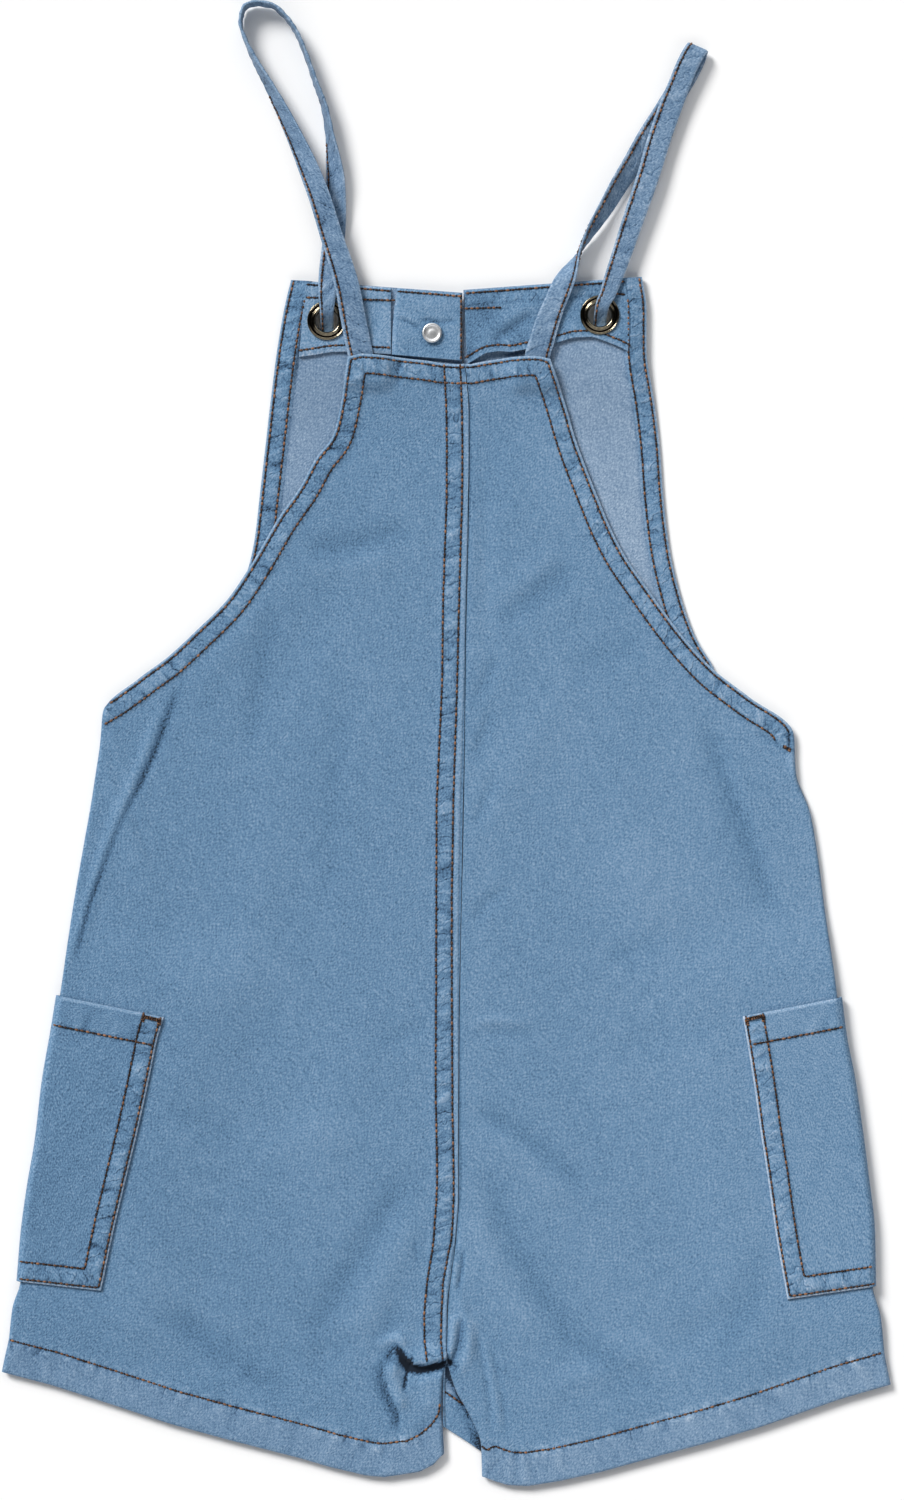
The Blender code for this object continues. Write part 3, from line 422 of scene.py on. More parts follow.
def half_grid(sections, rows, droop, turn, middle, steps_at, seam_columns, edge_columns, columns):
    """Middle surface of a half panel, rows down from the top and columns out from the seam.

    steps_at gives row spacings as rows of section and millimetres. Each section runs from the
    seam to the outer edge. Below the underarm the outer edge turns through a quarter circle
    towards the other layer (turn is -1 for down and 1 for up), and below the crotch the inner
    edge does the same. Also gives how far each point is turned.
    """
    last, hem = len(sections) - 1, rows["hem"]
    dense = np.linspace(0.0, last, 600)
    ends = along_table(sections, dense)
    steps = np.linalg.norm(np.diff(ends[:, :2], axis=0), axis=1) + np.linalg.norm(np.diff(ends[:, 2:], axis=0),
        axis=1)
    steps = steps / 2 / np.interp(dense[1:], *np.array(steps_at).T)
    travelled = np.r_[0.0, np.cumsum(steps)]
    places = np.interp(np.linspace(0.0, travelled[-1], int(travelled[-1])), travelled, dense)
    close = np.array([0.006, 0.016, 0.03])
    places = np.unique(np.concatenate([places, close, last - 2.0 * close]))
    seam_x, seam_y, edge_x, edge_y = along_table(sections, places).T
    side_turn = ramp(places, rows["underarm"] - 0.2, rows["underarm"] + 0.8)
    leg_turn = ramp(places, rows["crotch"], rows["crotch"] + 1.0)
    seam, edge = np.column_stack([seam_x, seam_y]), np.column_stack([edge_x, edge_y])
    out = (edge - seam) / np.linalg.norm(edge - seam, axis=1, keepdims=True)
    seam = seam + out * leg_turn[:, None] * CLOTH / 2
    edge = edge - out * side_turn[:, None] * CLOTH / 2
    length = np.linalg.norm(edge - seam, axis=1)[:, None]
    angles = np.radians(TURN_ANGLES)
    inset_by, fall = TURN_ROOM * (1.0 - np.cos(angles)), TURN_ROOM * (1.0 - np.sin(angles))
    by_seam, by_edge = np.r_[0.0, inset_by[::-1], seam_columns], np.r_[0.0, inset_by[::-1], edge_columns]
    share = np.linspace(0.0, 1.0, columns + 2)[1:-1]
    fit = np.minimum(1.0, 0.8 * length / (by_seam[-1] + by_edge[-1]))
    fixed = np.r_[by_seam, by_seam[-1] * (1.0 - share) - by_edge[-1] * share, -by_edge[::-1]]
    scaled = np.r_[np.zeros(len(by_seam)), share, np.ones(len(by_edge))]
    along = fixed * fit + scaled * length
    x = seam[:, :1] + out[:, :1] * along
    y = seam[:, 1:] + out[:, 1:] * along
    past_hem = np.clip((places - hem) / (last - hem), 0.0, 1.0)[:, None]
    at_hem = ramp(places, hem - 4.0, hem)[:, None] - past_hem
    at_top = 1.0 - ramp(places, 0.0, 2.0)[:, None]
    y = y - droop_at(droop, along / length, at_top, at_hem, past_hem)
    drop = np.zeros(along.shape)
    turned = np.r_[TURN_ROOM, fall[::-1]]
    drop[:, : len(turned)] += leg_turn[:, None] * turned
    drop[:, -len(turned) :] += side_turn[:, None] * turned[::-1]
    grid = np.stack([x, y, middle(x, y) + turn * drop], axis=2)
    flat = 1.0 - np.clip(drop / TURN_ROOM, 0.0, 1.0) ** 0.5
    return grid, flat


def surface_normals(grid):
    """Unit normals of a grid of points, all turned to the side that is mostly up."""
    normals = np.cross(np.gradient(grid, axis=1), np.gradient(grid, axis=0))
    normals /= np.maximum(np.linalg.norm(normals, axis=2, keepdims=True), 1e-9)
    return normals * (1.0 if normals[: len(normals) // 2, :, 2].sum() > 0 else -1.0)


def put_mesh(name, points, faces, look, marks=()):
    """A smooth piece from points in millimetres, its faces and its material.

    marks holds the name, kind and values of each attribute of the points.
    """
    mesh = bpy.data.meshes.new(name)
    mesh.from_pydata((points * MM).tolist(), [], faces)
    for mark, kind, values in marks:
        field = "vector" if kind == "FLOAT_VECTOR" else "value"
        mesh.attributes.new(mark, kind, "POINT").data.foreach_set(field, values.astype(np.float32).ravel())
    mesh.polygons.foreach_set("use_smooth", np.ones(len(mesh.polygons), bool))
    mesh.materials.append(look)
    piece = bpy.data.objects.new(name, mesh)
    bpy.context.scene.collection.objects.link(piece)
    return piece


def shell(name, outer, inner, look, outer_marks, inner_marks, weave, hole=None):
    """One closed piece of cloth between two grids, walled round its rim and any hole.

    The marks are fade, how worn or shaded each point is; wrong, how much of the cloth's wrong
    side it shows; and tuck, tuck_at and tuck_in, how gathered it is and how far along its seam
    and in from its edge. weave holds each point's place on the cloth, across and along it.
    """
    rows, columns = outer.shape[:2]
    under = rows * columns
    index = np.arange(under).reshape(rows, columns)
    quads = np.stack([index[:-1, :-1], index[:-1, 1:], index[1:, 1:], index[1:, :-1]], axis=2)
    kept = np.ones(quads.shape[:2], bool) if hole is None else ~hole
    padded = np.pad(kept, 1)
    sides = ((padded[:-2, 1:-1], 0, 1), (padded[1:-1, 2:], 1, 2), (padded[2:, 1:-1], 2, 3),
        (padded[1:-1, :-2], 3, 0))
    faces = [quads[kept], quads[kept][:, ::-1] + under]
    for beside, a, b in sides:
        bare = quads[kept & ~beside]
        faces.append(np.column_stack([bare[:, b], bare[:, a], bare[:, a] + under, bare[:, b] + under]))
    faces = np.concatenate(faces)
    points = np.concatenate([outer.reshape(-1, 3), inner.reshape(-1, 3)])
    used, faces = np.unique(faces, return_inverse=True)
    faces, points = faces.reshape(-1, 4), points[used]
    a, b, c, d = (points[faces[:, k]] for k in range(4))
    if ((a * np.cross(b, c)).sum() + (a * np.cross(c, d)).sum()) < 0:
        faces = faces[:, ::-1]
    plain, marks = np.zeros(rows * columns), []
    for mark in CLOTH_MARKS:
        values = np.concatenate([np.ravel(side.get(mark, plain)) for side in (outer_marks, inner_marks)])
        marks.append((mark, "FLOAT", values[used]))
    piece = put_mesh(name, points, faces.tolist(), look, marks)
    mesh, place = piece.data, np.tile(weave.reshape(-1, 2), (2, 1))[used]
    corners = np.zeros(len(mesh.loops), np.int32)
    mesh.loops.foreach_get("vertex_index", corners)
    mesh.uv_layers.new(name="weave").data.foreach_set("uv", place[corners].astype(np.float32).ravel())
    return piece


def linear(hex_colour):
    """An sRGB hex colour as linear channels with full alpha."""
    channels = [int(hex_colour[i : i + 2], 16) / 255.0 for i in (1, 3, 5)]
    return (*(c / 12.92 if c <= 0.04045 else ((c + 0.055) / 1.055) ** 2.4 for c in channels), 1.0)


def add_node(tree, kind, settings=(), **links):
    """One shader node: settings are properties or socket values by name, links are sockets."""
    node = tree.nodes.new(kind)
    for key, value in dict(settings).items():
        if isinstance(key, int) or key in node.inputs:
            node.inputs[key].default_value = value
        else:
            setattr(node, key, value)
    for socket, source in links.items():
        socket = int(socket[1:]) if socket[0] == "_" else socket.replace("_", " ")
        tree.links.new(source, node.inputs[socket])
    return node


def new_material(name):
    """A material, its node tree and its shader."""
    look = bpy.data.materials.new(name)
    look.use_nodes = True
    return look, look.node_tree, look.node_tree.nodes["Principled BSDF"]


def colour_steps(tree, factor, steps):
    """A colour ramp through (place, sRGB hex) steps."""
    ramp_node = add_node(tree, "ShaderNodeValToRGB", Fac=factor)
    stops = ramp_node.color_ramp.elements
    while len(stops) < len(steps):
        stops.new(0.5)
    for stop, (place, colour) in zip(stops, steps):
        stop.position, stop.color = place, linear(colour)
    return ramp_node.outputs["Color"]


def make_denim():
    """Light indigo 2/1 twill cotton of about 0.5 mm thread pitch, washed with stones.

    The eye gets cloudy pale and deeper blue, fine slubs along both threads and a faint twill
    line, drawn at about 1 mm as the real 0.5 mm would not show. The wear-and-shade mark lightens
    worn edges and ridges and deepens troughs with painted shade; wrong brings in the paler wrong side.
    """
    look, tree, shader = new_material("stonewashed_denim")
    place = add_node(tree, "ShaderNodeUVMap", {"uv_map": "weave"}).outputs["UV"]
    wear_and_shade, wrong, tuck, tuck_at, tuck_in = (
        add_node(tree, "ShaderNodeAttribute", {"attribute_name": mark}).outputs["Fac"] for mark in CLOTH_MARKS
    )
    # Columns: across and along size in mm, turn in degrees, detail, how much it shows
    grains = (
        (34.0, 60.0, 12.0, 2.0, 0.2),
        (5.0, 8.0, -30.0, 2.0, 0.26),
        (0.62, 7.0, 0.0, 1.0, 0.5),
        (6.0, 0.62, 0.0, 1.0, 0.4),
        (0.55, 1.1, -40.0, 1.0, 1.9),
    )
    # Gathers: soft light ridges and dark valleys, a few mm apart, across the stitched bands, worn lighter on the
    # ridges and with painted shade in the valleys
    gather = add_node(tree, "ShaderNodeCombineXYZ", X=tuck_at, Y=tuck_in).outputs["Vector"]

    def gather_noise(across, inward, detail):
        """Soft noise over the gathers, centred on nothing."""
        scaled = add_node(tree, "ShaderNodeMapping", {"Scale": (across, inward, 1.0)},
            Vector=gather).outputs["Vector"]
        noise = add_node(tree, "ShaderNodeTexNoise",
            {"noise_dimensions": "2D", "Scale": 1.0, "Detail": detail, "Distortion": 0.5}, Vector=scaled)
        return add_node(tree, "ShaderNodeMath", {"operation": "SUBTRACT", 1: 0.5},
            _0=noise.outputs["Fac"]).outputs["Value"]

    def pucker(phase, place, width):
        """1 where the phase is at a place, falling to 0 at a width from it."""
        off = add_node(tree, "ShaderNodeMath", {"operation": "SUBTRACT", 1: place}, _0=phase).outputs["Value"]
        off = add_node(tree, "ShaderNodeMath", {"operation": "ABSOLUTE"}, _0=off).outputs["Value"]
        return add_node(tree, "ShaderNodeMath", {"operation": "MULTIPLY_ADD", "use_clamp": True,
            1: -1.0 / width, 2: 1.0}, _0=off).outputs["Value"]

    ridges = gather_noise(0.3, 0.12, 1.5)
    # Sharp puckers about 5.5 mm apart, each a dark line of painted shade with a painted highlight ridge beside it
    phase = add_node(tree, "ShaderNodeMath", {"operation": "MULTIPLY", 1: 0.185}, _0=tuck_at).outputs["Value"]
    phase = add_node(tree, "ShaderNodeMath", {"operation": "MULTIPLY_ADD", 1: 1.5},
        _0=gather_noise(0.12, 0.15, 1.0), _2=phase).outputs["Value"]
    phase = add_node(tree, "ShaderNodeMath", {"operation": "FRACT"}, _0=phase).outputs["Value"]
    shown = add_node(tree, "ShaderNodeMath", {"operation": "MULTIPLY_ADD", "use_clamp": True, 1: 5.0, 2: 0.75},
        _0=gather_noise(0.21, 0.16, 1.0)).outputs["Value"]
    line = add_node(tree, "ShaderNodeMath", {"operation": "MULTIPLY_ADD", 1: -2.6},
        _0=pucker(phase, 0.4, 0.09), _2=pucker(phase, 0.57, 0.16)).outputs["Value"]
    line = add_node(tree, "ShaderNodeMath", {"operation": "MULTIPLY"}, _0=line, _1=shown).outputs["Value"]
    ridges = add_node(tree, "ShaderNodeMath", {"operation": "MULTIPLY_ADD", 1: 0.19}, _0=line,
        _2=ridges).outputs["Value"]
    ridges = add_node(tree, "ShaderNodeMath", {"operation": "MULTIPLY"}, _0=ridges, _1=tuck).outputs["Value"]
    value = add_node(tree, "ShaderNodeMath", {"operation": "MULTIPLY_ADD", 1: 1.0}, _0=ridges,
        _2=wear_and_shade).outputs["Value"]
    for count, (across, along, turn, detail, share) in enumerate(grains):
        turned = add_node(tree, "ShaderNodeMapping",
            {"vector_type": "TEXTURE", "Rotation": (0, 0, math.radians(turn)), "Scale": (across, along, 1.0),
                "Location": (17.0 * count, 5.0, 0.0)}, Vector=place)
        noise = add_node(tree, "ShaderNodeTexNoise", {"Scale": 1.0, "Detail": detail},
            Vector=turned.outputs["Vector"])
        centred = add_node(tree, "ShaderNodeMath", {"operation": "SUBTRACT", 1: 0.5}, _0=noise.outputs["Fac"])
        value = add_node(tree, "ShaderNodeMath", {"operation": "MULTIPLY_ADD", 1: share},
            _0=centred.outputs["Value"], _2=value).outputs["Value"]
        grain = centred.outputs["Value"]
    value = add_node(tree, "ShaderNodeMath", {"operation": "MULTIPLY_ADD", 1: 0.5, 2: 0.5},
        _0=value).outputs["Value"]
    right = colour_steps(tree, value, ((0.0, "#15202e"), (0.22, "#426180"), (0.5, "#6488a9"), (0.8, "#8fa8c2"),
        (1.0, "#b7c6d8")))
    back = colour_steps(tree, value, ((0.0, "#1b2838"), (0.2, "#526f8e"), (0.5, "#758fab"), (0.8, "#a0b4ca"),
        (1.0, "#c0cddc")))
    blend = add_node(tree, "ShaderNodeMix", {"data_type": "RGBA"}, _0=wrong, _6=right, _7=back)
    tree.links.new(blend.outputs[2], shader.inputs["Base Color"])
    shader.inputs["Roughness"].default_value = 0.88
    shader.inputs["Specular IOR Level"].default_value = 0.18
    shader.inputs["Sheen Weight"].default_value = 0.12
    shader.inputs["Sheen Roughness"].default_value = 0.5
    height = add_node(tree, "ShaderNodeMath", {"operation": "MULTIPLY_ADD", 1: 3.0}, _0=ridges,
        _2=grain).outputs["Value"]
    raised = add_node(tree, "ShaderNodeBump", {"Strength": 0.5, "Distance": 0.0002}, Height=height)
    tree.links.new(raised.outputs["Normal"], shader.inputs["Normal"])
    return look


def make_thread():
    """Spun polyester topstitching thread, rust brown, each stitch a little lighter or darker; the near-black low end
    of its ramp is painted shade for the beads at the needle holes.
    """
    look, tree, shader = new_material("rust_topstitch_thread")
    tone = add_node(tree, "ShaderNodeAttribute", {"attribute_name": "tone"}).outputs["Fac"]
    colour = colour_steps(tree, tone, ((0.0, "#14100f"), (0.25, "#2a1f1b"), (0.5, "#4f392c"), (0.8, "#7a573f"),
        (1.0, "#9a6e4e")))
    tree.links.new(colour, shader.inputs["Base Color"])
    shader.inputs["Roughness"].default_value = 0.6
    shader.inputs["Specular IOR Level"].default_value = 0.3
    return look


denim = make_denim()
thread = make_thread()
STITCH_PITCH = 2.4
THREAD_RADIUS = 0.49
ENDS_WOBBLE, LAY_STEP = 0.05, 0.4
# The two beads of a stitch: the one that shows, and the dark one at its needle hole, whose
# near-black tone is painted shade of the hole. Columns: start and end as shares of the pitch,
# bow, size, rings, sides, sink, whether it is dark.
STITCH_BEADS = (
    (0.18, 0.86, 0.2, THREAD_RADIUS, 5, 6, 0.0, False),
    (-0.18, 0.22, 0.06, THREAD_RADIUS * 1.1, 3, 4, 0.03, True),
)


def bead_mesh(ends, ups, bow, radius, rings, sides, sink):
    """Short curved threads, each between its two ends and bowed up from the cloth.

    Ring k of a thread sits on the line between its ends, lifted by a half sine; its radius
    shrinks to the ends as a flat oval. Returns points and quads for all of them.
    """
    share = np.linspace(0.0, 1.0, rings)[None, :, None]
    centre = ends[:, None, 0] * (1.0 - share) + ends[:, None, 1] * share
    run = ends[:, 1] - ends[:, 0]
    run /= np.maximum(np.linalg.norm(run, axis=1, keepdims=True), 1e-9)
    over = np.cross(ups, run)
    lift = bow * np.sin(share * math.pi) - sink
    centre = centre + ups[:, None] * lift
    thin = radius * (0.35 + 0.65 * np.sin(share * math.pi) ** 0.5)
    turn = np.linspace(0.0, 2.0 * math.pi, sides, endpoint=False)
    ring = over[:, None, None] * np.cos(turn)[None, None, :, None] + ups[:, None, None] * np.sin(turn)[None,
        None, :, None]
    points = centre[:, :, None] + ring * thin[..., None]
    one = np.arange(rings * sides).reshape(rings, sides)
    nxt = np.roll(one, -1, axis=1)
    quads = np.stack([one[:-1], nxt[:-1], nxt[1:], one[1:]], axis=2).reshape(-1, 4)
    caps = [[k, (k + 3) % 6, (k + 2) % 6, (k + 1) % 6] for k in (0, 3)] if sides == 6 else [[3, 2, 1, 0]]
    top = [[c + (rings - 1) * sides for c in cap[::-1]] for cap in caps]
    quads = np.concatenate([quads, np.array(caps), np.array(top)])
    count = len(ends)
    faces = quads[None] + (np.arange(count) * rings * sides)[:, None, None]
    return points.reshape(-1, 3), faces.reshape(-1, 4)


def stitching(name, runs, seed, pitch=STITCH_PITCH):
    """Rows of thread over the cloth: a run is its points on the cloth and its way up.

    Each stitch is a bowed bead, and a short dark one between two stitches is where the thread
    goes down through its needle hole; that bead's near-black tone is painted shade of the hole.
    """
    draw = np.random.default_rng(seed)
    points, faces, tones, total = [], [], [], 0
    for line, up in runs:
        line, up = np.asarray(line, float), np.asarray(up, float)
        along = np.r_[0.0, np.cumsum(np.linalg.norm(np.diff(line, axis=0), axis=1))]
        count = max(1, round(along[-1] / pitch))
        starts = np.arange(count) * along[-1] / count
        step = along[-1] / count
        ups = np.broadcast_to(up, line.shape)

        def at(places):
            """Points of the line at lengths along it."""
            return np.column_stack([np.interp(places, along, column) for column in line.T])

        for low, high, bow, size, rings, sides, sink, dark in STITCH_BEADS:
            wobble = draw.normal(0.0, ENDS_WOBBLE, (count, 2, 3)) * (not dark)
            ends = np.stack([at(starts + low * step), at(starts + high * step)], axis=1) + wobble
            normal = np.column_stack([np.interp(starts + step / 2, along, column) for column in ups.T])
            made, quads = bead_mesh(ends, normal, bow, size, rings, sides, sink)
            # Needle-hole beads take the near-black tones, painted shade of the hole
            tone = draw.uniform(0.0, 0.22, count) if dark else draw.uniform(0.25, 1.0, count)
            points.append(made)
            faces.append(quads + total)
            tones.append(np.repeat(tone, rings * sides))
            total += len(made)
    tone = [("tone", "FLOAT", np.concatenate(tones))]
    piece = put_mesh(name, np.concatenate(points), np.concatenate(faces).tolist(), thread, tone)
    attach(piece, "root")
    return piece


def lay_on(line, height):
    """A flat line as points on a surface, from a function of x and y."""
    line = resample(line, LAY_STEP)
    return np.column_stack([line, height(line[:, 0], line[:, 1])])


UP, DOWN = (0.0, 0.0, 1.0), (0.0, 0.0, -1.0)
LEG_EDGE = ((-1.4, -262.1), (1.6, -268.0), (4.5, -273.4), (8.7, -281.0), (14.6, -293.2), (15.0, -304.1))
SHOWN_HEM_STITCHES = ((-1.6, -272.6), (1.6, -274.7), (6.6, -278.1))
BIB_TOP_ROW = 186.7
FAR_IN, SEWN_IN = 99.0, 0.05
FRONT_RIM, FRONT_HEM = {}, {}
for number, side in enumerate(("left", "right")):
    sections, rows, droop = FRONT_SECTIONS[side], FRONT_ROWS[side], FRONT_DROOP[side]
    rim = inside_left(side, edge_path(sections, rows, droop)[24:])
    hem_line = inside_left("right" if side == "left" else "left", hem_path(sections, droop))
    FRONT_RIM[side] = make_band(rim, 20 + number, rows=(1.3, 7.7), width=8.7)
    FRONT_HEM[side] = make_hem(hem_line, 30 + number)


def front_layers(side, x, y):
    """Middle height, relief of the side that lies up, its wear and painted shade, its wrong side and gathers."""
    relief, wear_and_shade, away, gathers = band_relief(FRONT_RIM[side], x, y)
    hem_up, hem_wear_and_shade, hem_away, hem_gathers = hem_relief(FRONT_HEM[side], x, y)
    # The side bands lie over the facings, so they are thicker there
    thick = 0.95 * ramp(y, 146.0, 160.0) * (1.0 - ramp(away, 8.5, 9.1))
    in_band = 1.0 - ramp(away, 8.6, 9.0)
    in_hem = 1.0 - ramp(hem_away, HEM_WIDTH + 0.4, HEM_WIDTH + 1.0)
    in_bib = (1.0 - in_band) * ramp(y, 40.0, 60.0)
    # A lighter strip with wear on the band's inner fold and a painted shadow line just past it
    wear_and_shade = wear_and_shade + 0.25 * bell(away - 8.4, 0.5) - 0.45 * bell(away - 9.4, 0.5) + hem_wear_and_shade
    # The back's leg edge throws its shade on the front's leg below the crotch, painted into the colour; above the
    # crotch the cloth grows lighter towards the right
    from_leg = near_path(x, y, LEG_EDGE)[0]
    below_crotch = 1.0 - ramp(y, LEG_EDGE[0][1], LEG_EDGE[0][1] + 4.0)
    shade, edge_shade = bell(from_leg, 3.4) * below_crotch, bell(from_leg, 1.0) * below_crotch
    wear_and_shade = wear_and_shade - 0.42 * shade - 0.7 * edge_shade + (0.05 + 0.001 * x) * ramp(y, -60.0, 0.0)
    wear_and_shade = wear_and_shade - 0.12 * in_band * ramp(y, 0.0, 40.0)
    # Painted shade in the notch where the back's leg edge starts
    wear_and_shade = wear_and_shade - 0.9 * bell(np.hypot(x - LEG_EDGE[0][0], y - LEG_EDGE[0][1] + 3.0), 3.2)
    # The bib's inside is paler towards the armholes
    wear_and_shade = wear_and_shade + in_bib * (0.14 * ramp(-y, -160.0, -80.0))
    wrong = 1.0 - np.maximum(in_band, in_hem)
    return front_middle(x, y, away), relief + thick + hem_up, wear_and_shade, wrong, join_gathers(gathers, hem_gathers)


def top_of(layers, side):
    """Height of a layer's upper face: its middle, half the cloth and its relief."""
    def height(x, y):
        middle, relief = layers(side, x, y)[:2]
        return middle + CLOTH / 2 + relief
    return height


def under_front(band=None):
    """Height just inside the front's lower face, near a band's edge or far from any."""
    def height(x, y):
        away = abs(near_path(x, y, band["path"])[0]) if band else FAR_IN
        return front_middle(x, y, away) - CLOTH / 2 + SEWN_IN
    return height


def near_eyelet(grid, radius):
    """Which quads of a grid lie within a radius of an eyelet's middle."""
    centre = (grid[:-1, :-1] + grid[1:, :-1] + grid[:-1, 1:] + grid[1:, 1:]) / 4
    return np.any([np.hypot(centre[..., 0] - ex, centre[..., 1] - ey) < radius for ex, ey in EYELETS.values()],
        axis=0)


fronts = {}
for side in ("left", "right"):
    grid, flat = half_grid(
        FRONT_SECTIONS[side], FRONT_ROWS[side], FRONT_DROOP[side], 1.0,
        lambda x, y: front_layers(side, x, y)[0],
        ((0, 1.1), (10, 1.2), (13, 2.6), (21, 2.6), (22.5, 1.3), (27, 1.3)), EDGE_COLUMNS, EDGE_COLUMNS, 30,
    )
    x, y = grid[..., 0], grid[..., 1]
    _, relief, wear_and_shade, wrong, gathers = front_layers(side, x, y)
    normals = surface_normals(grid)
    down_wear_and_shade = 0.6 * wear_and_shade * (1.0 - ramp(wrong, 0.2, 0.8))
    below = np.minimum(CLOTH / 2 - 0.25 * (relief < 0.0) * relief, 0.5)
    outer = grid + normals * (CLOTH / 2 + relief * flat)[..., None]
    inner = grid - normals * (below * flat + CLOTH / 2 * (1.0 - flat))[..., None]
    name = "front_" + side + "_cloth"
    piece = shell(
        name, outer, inner, denim, {"wear_and_shade": wear_and_shade * flat, "wrong": wrong * flat, **gather_marks(gathers)},
        {"wear_and_shade": down_wear_and_shade, **gather_marks(gathers)}, grid[..., :2], near_eyelet(grid, CLOTH_HOLE),
    )
    band, hem = FRONT_RIM[side], FRONT_HEM[side]
    on_top = top_of(front_layers, side)
    runs = []
    for row in band["rows"]:
        line = inset(band["path"], row)
        shown = line[line[:, 1] < BIB_TOP_ROW] if row > 5.0 else line
        runs.append((lay_on(shown, on_top), UP))
        runs.append((lay_on(line, under_front(band)), DOWN))
    line = inset(hem["path"], HEM_WIDTH)
    line = np.vstack([SHOWN_HEM_STITCHES, line[line[:, 0] > SHOWN_HEM_STITCHES[-1][0]
        + 1.0]]) if side == "right" else line
    runs.append((lay_on(line, on_top), UP))
    runs.append((lay_on(line, under_front()), DOWN))
    sewn = stitching("front_" + side + "_stitches", runs, 40 + len(fronts))
    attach(piece, "root")
    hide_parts("front_" + side)
    fronts[side] = piece

# --- Facings and bib placket ------------------------------------------------------------------
# The bib is faced with two pieces of the same denim, turned in at the top edge and stitched
# along their curved lower edge; the button placket lies between them with its own fold.
FACING_GAP, PLACKET_GAP, TURNED_EDGE = 1.4, 1.85, 0.75
# Sections from the bib's top edge down. Columns: seam x, y, then outer edge x, y.
FACING_SECTIONS = {
    "left": (
        (-23.2, 190.5, -58.9, 193.3),
        (-23.2, 181.4, -60.0, 184.8),
        (-23.2, 173.0, -60.6, 175.1),
        (-23.2, 162.7, -61.8, 161.5),
    ),
    "right": (
        (7.7, 189.5, 74.7, 194.5),
        (7.9, 179.3, 76.3, 184.8),
        (8.3, 168.8, 77.0, 174.3),
        (9.1, 158.7, 76.3, 163.8),
    ),
}
# Columns: share of the width from the seam, droop at the top, half way, at the lower edge.
FACING_DROOP = {
    "left": (
        (0, 0.0, 0.0, 0.0),
        (0.2, -0.2, -0.6, -0.6),
        (0.45, -0.4, -1.5, -1.7),
        (0.65, -0.4, -1.3, -1.7),
        (0.85, -0.2, -0.4, -0.6),
        (1, 0.0, 0.0, 0.0),
    ),
    "right": (
        (0, 0.0, 0.0, 0.0),
        (0.11, 0.0, -2.1, -3.8),
        (0.19, 0.0, -2.5, -4.2),
        (0.27, 0.0, -1.7, -3.4),
        (0.36, 0.0, -2.1, -4.2),
        (0.55, -0.8, -3.4, -5.9),
        (0.66, -1.3, -4.6, -7.6),
        (0.78, -1.3, -4.2, -7.3),
        (0.86, -0.8, -2.9, -5.0),
        (0.94, -0.4, -1.3, -2.5),
        (1, 0.0, 0.0, 0.0),
    ),
}
PLACKET_SECTIONS = (
    (6.7, 188.2, -20.5, 190.3),
    (6.7, 178.9, -21.9, 180.6),
    (6.7, 169.7, -22.5, 173.0),
    (6.7, 160.0, -22.8, 162.5),
)
# The second row at the top is sewn in short runs
FACING_INNER_ROWS = {"left": (((-58.9, 186.5), (-21.1, 185.2)),),
    "right": (((7.2, 181.8), (23.4, 182.3)), ((69.6, 188.1), (75.5, 187.7)),)}
# Creases of the bib's inside. Columns: x, y of each point; then width, rise and shade.
BIB_CREASES = (
    (((41.5, 186.5), (24.7, 176.4), (9.1, 165.9)), 4.5, 0.8, 0.16, 0),
    (((37.3, 180.6), (26.8, 173.0), (18.4, 166.7)), 2.2, -0.7, -0.3, 0),
    (((14.2, 185.6), (17.5, 178.1), (22.6, 170.9)), 3.0, -0.4, -0.16, 0),
    (((31.0, 186.9), (22.6, 183.5), (13.3, 183.1)), 2.2, 0.4, 0.12, 0),
    (((-32.0, 185.6), (-29.5, 177.2), (-31.2, 166.7)), 2.6, -0.4, -0.15, 0),
    (((-20.3, 178.1), (-15.6, 176.0), (-11.0, 173.0)), 0.9, -0.5, -0.5, 0),
    (((-19.8, 179.7), (-15.2, 177.6), (-10.6, 175.1)), 1.2, 0.3, 0.16, 0),
    (((-12.3, 176.4), (-7.2, 177.2), (-2.6, 176.0), (1.2, 176.4), (5.4, 176.8)), 0.9, -0.5, -0.4, 0),
    (((-19.4, 184.8), (-8.9, 183.1), (3.7, 184.4)), 3.0, 0.25, 0.1, 0),
    (((-20.3, 166.7), (-8.9, 164.6), (3.7, 163.8)), 3.0, -0.3, -0.12, 0),
)


def crease_relief(creases, x, y):
    """Ridges and troughs along drawn lines, each a bell across that fades out at both ends.

    Each crease's shade is painted into the colour: dark where the shade is negative, a painted
    highlight where it is positive. A crease with a spread has its painted shade sharp on one side
    and spread on the other: its left for a positive spread and its right for a negative one.
    """
    relief, wear_and_shade = np.zeros(x.shape), np.zeros(x.shape)
    for line, width, rise, shade, spread in creases:
        away, along = near_path(x, y, line)
        length = path_length(line)
        ends = ramp(along, 0.0, 0.22 * length) * (1.0 - ramp(along, 0.78 * length, length))
        relief = relief + rise * bell(away, width) * ends
        across = np.where(away * spread > 0.0, abs(away) / abs(spread),
            away / width) if spread else away / width
        wear_and_shade = wear_and_shade + shade * bell(across, 1.0) * ends
    return relief, wear_and_shade


